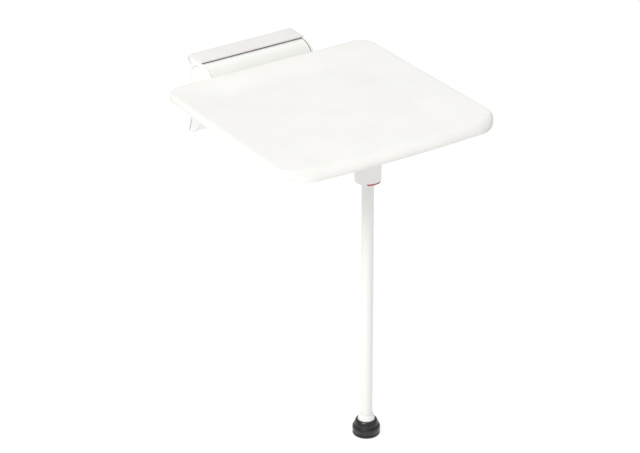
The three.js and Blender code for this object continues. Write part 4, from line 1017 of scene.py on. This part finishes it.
@dataclass
class Seat:
    """The moulded seat: a thin shell, dished between two soft fold lines, closed by a pan below."""

    wardrobe: Wardrobe
    front_corner: float = 46 * MM
    rear_corner: float = 26 * MM
    taper: float = 5.4 * MM
    crease: float = 109 * MM
    crease_softness: float = 2.2 * MM
    dish: float = 1.6 * MM
    flank_rise: float = 5.0 * MM
    rear_rise: float = 5.1 * MM
    rear_sweep: float = 60 * MM
    thickness: float = 11.9 * MM
    skin: float = 4.0 * MM
    edge: float = 4.0 * MM
    roll: float = 27 * MM
    front_edge: float = 2.8 * MM
    front_tuck: float = 3.0 * MM
    lip: float = 1.4 * MM
    pan_thickness: float = 2.6 * MM
    low: Vector = field(init=False)
    high: Vector = field(init=False)
    top: float = field(init=False)

    def __post_init__(self) -> None:
        """Take the seat's box from the frame, and the level of its fold lines from that."""
        self.low, self.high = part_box("seat_shell")
        self.top = self.low.z + self.thickness + self.dish

    def build(self) -> None:
        """Build and dress the seat's shell and pan."""
        dresser = Dresser(self.wardrobe, "seat")
        dresser.dress(self.shell(), "seat_white", "seat_shell")
        dresser.dress(self.pan(), "seat_white", "seat_pan")

    def cross(self, x: np.ndarray) -> np.ndarray:
        """Give the height of the seat's upper face away from its rear rim.

        Between the creases it is a parabola that is lowest in the middle. Outside them it rises in a
        straight line, and the change of slope is spread by a soft ramp, log(1 + exp(t)).

        Args:
            x: places across the seat.

        Returns:
            The height at each.
        """
        away = np.abs(x)
        inner_slope = 2 * self.dish / self.crease
        slope = self.flank_rise / (self.high.x - self.crease)
        dished = self.top - self.dish * (1 - (np.minimum(away, self.crease) / self.crease) ** 2)
        beyond = np.maximum(away - self.crease, 0) * inner_slope
        ramp = np.logaddexp(0, (away - self.crease) / self.crease_softness) * self.crease_softness
        return dished + beyond + (slope - inner_slope) * ramp

    def height(self, flat: np.ndarray) -> np.ndarray:
        """Give the height of the seat's upper face, which sweeps up to a level rim at the rear.

        With t from 0 to 1 over the last stretch before the rear edge, the height is blended from the
        cross-section to the rim's level by the share t t (3 - 2 t).

        Args:
            flat: places (x, y), a row for each.

        Returns:
            The height at each.
        """
        t = np.clip((flat[:, 1] - (self.high.y - self.rear_sweep)) / self.rear_sweep, 0, 1)
        share = t * t * (3 - 2 * t)
        return self.cross(flat[:, 0]) * (1 - share) + (self.top + self.rear_rise) * share

    def plan(self) -> Outline:
        """Draw the seat's plan, whose sides close in a little towards the wall.

        Returns:
            The outline.
        """
        front = self.high.x + self.taper * self.front_corner / (self.high.y - self.low.y)
        return Outline.rounded([
            (-front, self.low.y, self.front_corner), (front, self.low.y, self.front_corner),
            (front - self.taper, self.high.y, self.rear_corner),
            (-front + self.taper, self.high.y, self.rear_corner),
        ], 2.5 * MM, 40)

    def forwards(self, outline: Outline) -> np.ndarray:
        """Give how far each outline point belongs to the front edge, from 0 to 1 in a soft step."""
        t = np.clip((-outline.normals[:, 1] - 0.3) / 0.7, 0, 1)
        return t ** 2 * (3 - 2 * t)

    def pan(self) -> bpy.types.Object:
        """Make the pan that closes the seat from below: a plate that follows the underside.

        Both faces are scaled copies of the shell's opening, at the underside's height and one
        plate's thickness above it, with a small round between them.

        Returns:
            The pan.
        """
        outline = self.plan()
        inset = self.skin + self.front_tuck * self.forwards(outline) + GAP
        middle = np.array([0.0, (self.low.y + self.high.y) / 2])
        soft = 0.5 * MM
        lower, edge = outline.inset(inset + soft), outline.inset(inset)
        rings = []
        for share in np.linspace(0, 1, 40):
            flat = middle + (lower - middle) * share
            rings.append((flat, self.cross(flat[:, 0]) - self.thickness))
        for rise in (soft, self.pan_thickness):
            rings.append((edge, self.cross(edge[:, 0]) - self.thickness + rise))
        for share in np.linspace(1, 0, 20)[1:]:
            flat = middle + (edge - middle) * share
            rings.append((flat, self.cross(flat[:, 0]) - self.thickness + self.pan_thickness))
        grid = np.stack([np.column_stack([flat, z]) for flat, z in rings])
        return surface("seat_floor", grid, Ends.POLES, 40)

    def shell(self) -> bpy.types.Object:
        """Make the shell as rings round the seat's plan.

        From its middle the upper face is scaled copies of the plan. Near the edge each ring is the
        plan moved in along its normals, and falls as a quarter ellipse, whose run and fall grow from
        a tight round at the sides to a long roll at the front. Then come the upright rim, a small
        round, the lip below it and the inner wall and ceiling of the hollow.

        Returns:
            The shell.
        """
        outline = self.plan()
        forwards = self.forwards(outline)
        bottom_front = self.top - self.thickness + self.front_edge
        run = self.edge + (self.roll - self.edge) * forwards
        fall = self.edge * (1 - forwards) + (self.height(outline.points) - bottom_front) * forwards
        middle = np.array([0.0, (self.low.y + self.high.y) / 2])
        inner = outline.inset(run)
        rings = []
        for share in np.linspace(0, 1, 64)[:-1]:
            flat = middle + (inner - middle) * share
            rings.append((flat, self.height(flat)))
        for turn in quarter(14)[::-1]:
            flat = outline.inset(run * (1 - math.cos(turn)))
            rings.append((flat, self.height(flat) - fall * (1 - math.sin(turn))))
        tuck = self.front_tuck * forwards
        for turn in quarter(5):
            flat = outline.inset(tuck + self.lip * (1 - math.cos(turn)))
            rise = self.lip * (1 - math.sin(turn))
            rings.append((flat, self.cross(flat[:, 0]) - self.thickness + rise))
        hollow = outline.inset(self.skin + tuck)
        ceiling = outline.inset(np.maximum(self.skin, run))
        rings.append((hollow, self.cross(hollow[:, 0]) - self.thickness))
        rings.append((hollow, self.cross(hollow[:, 0]) - self.thickness + 2.5 * MM))
        rings.append((ceiling, self.height(ceiling) - self.skin))
        for share in np.linspace(1, 0, 12)[1:]:
            flat = middle + (ceiling - middle) * share
            rings.append((flat, self.height(flat) - self.skin))
        grid = np.stack([np.column_stack([flat, z]) for flat, z in rings])
        return surface("seat_skin", grid, Ends.POLES, 50)


# ------------------------------------------------------------------ socket and leg


@dataclass
class Leg:
    """The socket under the seat, with its red mark, and the tube that stands in it."""

    wardrobe: Wardrobe
    bore: float = 7.25 * MM
    sleeve_lip: float = 0.4 * MM
    socket_wall: float = 3.0 * MM
    flange_width: float = 12.4 * MM
    flange: float = 4.0 * MM
    fillet: float = 4.0 * MM
    slot_half: float = 10.8 * MM
    pivot_rise: float = 16.7 * MM
    socket_slim: float = 1.6 * MM
    mark_proud: float = 0.25 * MM
    mark_height: float = 2.2 * MM
    mark_rise: float = 0.1 * MM
    mark_depth: float = 1.2 * MM
    mark_degrees: tuple[float, float] = (-37.0, 30.0)   # from the front of the rim, left to right

    def build(self) -> None:
        """Build and dress the socket and every piece of the leg."""
        on_seat = Dresser(self.wardrobe, "seat")
        on_seat.dress(self.socket(), "socket_white", "leg_socket")
        on_seat.dress(self.mark(), "red_mark", "socket_mark")
        on_seat.dress(self.pin(), "plated_steel", "leg_pivot_pin")
        on_leg = Dresser(self.wardrobe, "leg")
        on_leg.soften("nylon", 0.4 * MM, "leg_knuckle")
        low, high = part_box("leg_tube")
        centre = (0, (low.y + high.y) / 2, 0)
        tube = self.pipe("tube_skin", "leg_tube", centre, self.bore, 0.3 * MM, 0.3 * MM)
        on_leg.dress(tube, "coated_tube", "leg_tube")
        inner = (high.x - low.x) / 2 + GAP
        sleeve = self.pipe("sleeve_skin", "tube_sleeve", centre, inner, 0.1 * MM, self.sleeve_lip)
        on_leg.dress(sleeve, "socket_white", "tube_sleeve")

    def pipe(
        self, name: str, node: str, centre: Sequence[float], inner: float,
        inner_edge: float, outer_edge: float,
    ) -> bpy.types.Object:
        """Make an open pipe that is as long and as wide as a CAD node.

        Args:
            name: the piece's name.
            node: the CAD node.
            centre: a point on the pipe's axis.
            inner: the bore's radius.
            inner_edge: the rounding of the bore's two ends.
            outer_edge: the rounding of the outer face's two ends.

        Returns:
            The pipe.
        """
        low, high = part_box(node)
        outer = (high.x - low.x) / 2
        seam = (inner, low.z + 1 * MM, 0)
        profile = rounded_profile([
            seam, (inner, low.z, inner_edge), (outer, low.z, outer_edge),
            (outer, high.z, outer_edge), (inner, high.z, inner_edge), seam,
        ])
        return turned(name, profile, Axis.Z, centre, Ends.LOOPED, 96)

    def socket(self) -> bpy.types.Object:
        """Make the socket: one profile turned round the leg's axis, with a slot towards the wall.

        The lower rim's height depends on the angle. Within the slot it follows the slot's round top,
        pivot + sqrt(half^2 - (r sin angle)^2), and beside the slot it drops straight to the rim. Each
        profile point moves with the rim by its own share: all of it at the rim, nothing at the top.

        Returns:
            The socket.
        """
        low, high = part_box("leg_socket")
        flange_radius = (high.x - low.x) / 2
        outer = flange_radius - self.flange_width - self.socket_slim
        bore = outer - self.socket_wall + self.socket_slim
        dome = low.z + self.pivot_rise + self.slot_half + 1 * MM
        profile = rounded_profile([
            (0, high.z, 0), (flange_radius, high.z, 0.5 * MM),
            (flange_radius, high.z - self.flange, 1.2 * MM),
            (outer, high.z - self.flange, self.fillet), (outer, low.z, 1.1 * MM),
            (bore, low.z, 0.5 * MM), (bore, dome, 0.6 * MM), (bore * 0.7, dome + 3 * MM, 1 * MM),
            (0, dome + 3 * MM, 0),
        ], 6)
        follows = (profile[:, 1] < low.z + 3 * MM)[:, None]
        edge = math.asin(self.slot_half / bore)
        slot = np.linspace(-edge, edge, 25)
        body = np.linspace(edge, 2 * math.pi - edge, 97)
        angle = np.concatenate([slot, body])
        arch = np.sqrt(np.clip(self.slot_half ** 2 - (bore * np.sin(slot)) ** 2, 0, None))
        rise = np.concatenate([self.pivot_rise + arch, np.zeros(len(body))])
        across = profile[:, :1] * -np.sin(angle)
        back = profile[:, :1] * np.cos(angle) + (low.y + high.y) / 2
        up = profile[:, 1:] + follows * rise
        return surface("socket_shell", np.stack([across, back, up], axis=2), Ends.POLES, 40)

    def pin(self) -> bpy.types.Object:
        """Make the leg's pivot pin, whose two ends lie inside the socket's wall.

        Returns:
            The pin.
        """
        low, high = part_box("leg_pivot_pin")
        radius = (high.z - low.z) / 2
        reach = high.x - self.socket_slim - 0.4 * MM
        profile = rounded_profile([
            (0, -reach, 0), (radius, -reach, 0.4 * MM), (radius, reach, 0.4 * MM), (0, reach, 0),
        ], 3)
        centre = (0, (low.y + high.y) / 2, (low.z + high.z) / 2)
        return turned("pivot_pin", profile, Axis.X, centre, Ends.POLES, 48)

    def mark(self) -> bpy.types.Object:
        """Make the red mark: a small section carried round the front of the socket's rim.

        Returns:
            The mark.
        """
        low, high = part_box("leg_socket")
        outer = (high.x - low.x) / 2 - self.flange_width - self.socket_slim
        inner, proud = outer - self.mark_depth, outer + self.mark_proud
        bottom, top = low.z + self.mark_rise, low.z + self.mark_height
        section = rounded_profile([
            (inner, bottom, 0), (proud, bottom, 0.4 * MM), (proud, top, 0.4 * MM), (inner, top, 0),
        ], 4)
        angle = np.radians(np.linspace(*self.mark_degrees, 41))[:, None]
        across = section[None, :, 0] * np.sin(angle)
        front = (low.y + high.y) / 2 - section[None, :, 0] * np.cos(angle)
        up = np.repeat(section[None, :, 1], len(angle), axis=0)
        return surface("rim_mark", np.stack([across, front, up], axis=2), Ends.CAPPED, 40)


# ------------------------------------------------------------------ adjustable foot


@dataclass
class Foot:
    """The rubber foot and the white cone of the height adjuster above it."""

    wardrobe: Wardrobe
    mouth: float = 12.6 * MM
    cup_floor: float = 6.0 * MM
    tube_room: float = 8.85 * MM
    collar_wall: float = 0.9 * MM
    spindle_room: float = 4.3 * MM
    cone_floor: float = 5.0 * MM

    def build(self) -> None:
        """Build and dress the foot's pieces."""
        dresser = Dresser(self.wardrobe, "foot")
        dresser.dress(self.rubber(), "black_rubber", "rubber_foot")
        dresser.dress(self.cone(), "socket_white", "adjuster_cone")

    def rubber(self) -> bpy.types.Object:
        """Make the bell: a sole ring, a shallow groove, a round ridge, a dome and a rolled mouth.

        Returns:
            The rubber foot.
        """
        low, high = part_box("rubber_foot")
        wide = (high.x - low.x) / 2
        tall = high.z - low.z
        profile = rounded_profile([
            (0, 0, 0), (wide * 0.95, 0, 1.2 * MM), (wide * 1.01, 2.4 * MM, 1.2 * MM),
            (wide * 0.955, 5.4 * MM, 1.0 * MM), (wide * 1.01, 8.2 * MM, 1.6 * MM),
            (wide * 1.01, 12.2 * MM, 1.6 * MM), (wide * 0.95, 15.2 * MM, 0.7 * MM),
            (wide * 0.885, 14.6 * MM, 0.3 * MM), (wide * 0.87, 18.4 * MM, 5 * MM),
            (wide * 0.785, 22.8 * MM, 3 * MM), (self.mouth + 0.5 * MM, tall + 0.5 * MM, 0.8 * MM),
            (self.mouth, tall - 1.2 * MM, 0.3 * MM), (self.mouth, self.cup_floor, 0.5 * MM),
            (0, self.cup_floor, 0),
        ], 8)
        centre = (0, (low.y + high.y) / 2, low.z)
        return turned("rubber_bell", profile, Axis.Z, centre, Ends.POLES, 128)

    def cone(self) -> bpy.types.Object:
        """Make the cup and cone: a closed profile turned round the leg's axis.

        Returns:
            The cone.
        """
        low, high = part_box("adjuster_cone")
        cup = (high.x - low.x) / 2
        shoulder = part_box("rubber_foot")[1].z - low.z
        tall = high.z - low.z
        collar = self.tube_room + self.collar_wall
        profile = rounded_profile([
            (self.spindle_room, 0, 0), (cup, 0, 0.5 * MM), (cup, shoulder, 1.2 * MM),
            (cup - 1.2 * MM, shoulder + 4.0 * MM, 4 * MM),
            (cup - 2.1 * MM, tall - 2.6 * MM, 0.6 * MM),
            (collar, tall - 2.2 * MM, 0.4 * MM), (collar, tall, 0.5 * MM),
            (self.tube_room, tall, 0.15 * MM), (self.tube_room, self.cone_floor, 0.3 * MM),
            (self.spindle_room, self.cone_floor, 0), (self.spindle_room, 0, 0),
        ], 8)
        centre = (0, (low.y + high.y) / 2, low.z)
        return turned("cone_skin", profile, Axis.Z, centre, Ends.LOOPED, 128)


# ------------------------------------------------------------------ studio


@dataclass(frozen=True)
class Lamp:
    """A square soft light: its name, its place, the length of its side and its power in watts."""

    name: str
    place: tuple[float, float, float]
    side: float
    power: float


@dataclass
class Studio:
    """A pale floor, soft lights and the camera."""

    lamps: tuple[Lamp, ...] = (
        Lamp("key", (-1.6, -1.0, 1.65), 1.1, 38),
        Lamp("sheen", (0.75, 0.9, 1.5), 1.3, 8),
    )
    aim: tuple[float, float, float] = (0, -0.25, -0.05)
    room_light: float = 0.54
    floor_reach: float = 6.0
    floor_glow: float = 1.08
    glow_share: float = 0.78
    camera_place: tuple[float, float, float] = (-2.5268, -4.0604, 2.1601)
    azimuth: float = -33.28
    elevation: float = 26.66
    lens: float = 202.5
    sensor: float = 36.0

    def build(self) -> None:
        """Set up the floor, the lights, the surroundings and the camera."""
        self.floor()
        self.surroundings()
        for lamp in self.lamps:
            self.hang(lamp)
        self.camera()

    def floor(self) -> None:
        """Lay a plain pale floor that glows as a light table does, so that shadows stay faint."""
        reach = self.floor_reach
        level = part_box("rubber_foot")[0].z
        turns = ((-1, -1), (1, -1), (1, 1), (-1, 1))
        corners = [(reach * x, reach * y, level) for x, y in turns]
        mesh = bpy.data.meshes.new("floor")
        mesh.from_pydata(corners, [], [(0, 1, 2, 3)])
        material, tree = start_material("white_paper_floor")
        place = add(tree, "TexCoord").outputs["Object"]
        fibre = add(tree, "TexNoise", {"Vector": place, "Scale": per_metre(3.0)})
        gloss = add(tree, "MapRange", {"Value": fibre.outputs["Fac"], "To Min": 0.85, "To Max": 0.95})
        paper = add(tree, "BsdfPrincipled", {
            "Base Color": linear("fbfbfb"), "Roughness": gloss.outputs["Result"],
            "Specular IOR Level": 0.1,
        })
        glow = add(tree, "Emission", {"Color": linear("ffffff"), "Strength": self.floor_glow})
        both = add(tree, "MixShader", {
            0: self.glow_share, 1: paper.outputs["BSDF"], 2: glow.outputs["Emission"],
        })
        add(tree, "OutputMaterial", {"Surface": both.outputs["Shader"]})
        mesh.materials.append(material)
        piece = bpy.data.objects.new("floor", mesh)
        bpy.context.scene.collection.objects.link(piece)

    def surroundings(self) -> None:
        """Fill the surroundings with an even white light."""
        world = bpy.data.worlds.new("white_room")
        world.use_nodes = True
        shade = world.node_tree.nodes["Background"]
        shade.inputs["Color"].default_value = (1, 1, 1, 1)
        shade.inputs["Strength"].default_value = self.room_light
        bpy.context.scene.world = world

    def hang(self, lamp: Lamp) -> None:
        """Hang a soft light that faces the seat.

        Args:
            lamp: the light.
        """
        data = bpy.data.lights.new(lamp.name, "AREA")
        data.size = lamp.side
        data.energy = lamp.power
        hung = bpy.data.objects.new(lamp.name, data)
        hung.location = lamp.place
        towards = Vector(self.aim) - Vector(lamp.place)
        hung.rotation_euler = towards.to_track_quat("-Z", "Y").to_euler()
        bpy.context.scene.collection.objects.link(hung)

    def camera(self) -> None:
        """Place the camera by its azimuth and elevation."""
        data = bpy.data.cameras.new("camera")
        data.lens = self.lens
        data.sensor_width = self.sensor
        data.clip_end = 50
        camera = bpy.data.objects.new("camera", data)
        camera.location = self.camera_place
        camera.rotation_euler = (math.radians(90 - self.elevation), 0, math.radians(self.azimuth))
        bpy.context.scene.collection.objects.link(camera)
        bpy.context.scene.camera = camera
        bpy.context.scene.view_settings.view_transform = "Standard"


# ------------------------------------------------------------------ the whole seat


def dress_nodes(wardrobe: Wardrobe) -> None:
    """Give every CAD node the finish of its own material slot.

    Args:
        wardrobe: the built materials.
    """
    for part in frame["record"]["subparts"]:
        mesh = frame["nodes"][part["node"]].data
        mesh.materials.clear()
        mesh.materials.append(wardrobe.of(part["material_slot"]))


def main() -> None:
    """Build the whole shower seat and its studio."""
    logging.basicConfig(level=logging.INFO, format="%(name)s: %(message)s")
    wardrobe = Wardrobe()
    dress_nodes(wardrobe)
    for make in (Bracket, Hinge, Seat, Leg, Foot):
        part = make(wardrobe)
        part.build()
        log.info("%s is built", type(part).__name__)
    Studio().build()


if __name__ == "__main__":
    main()
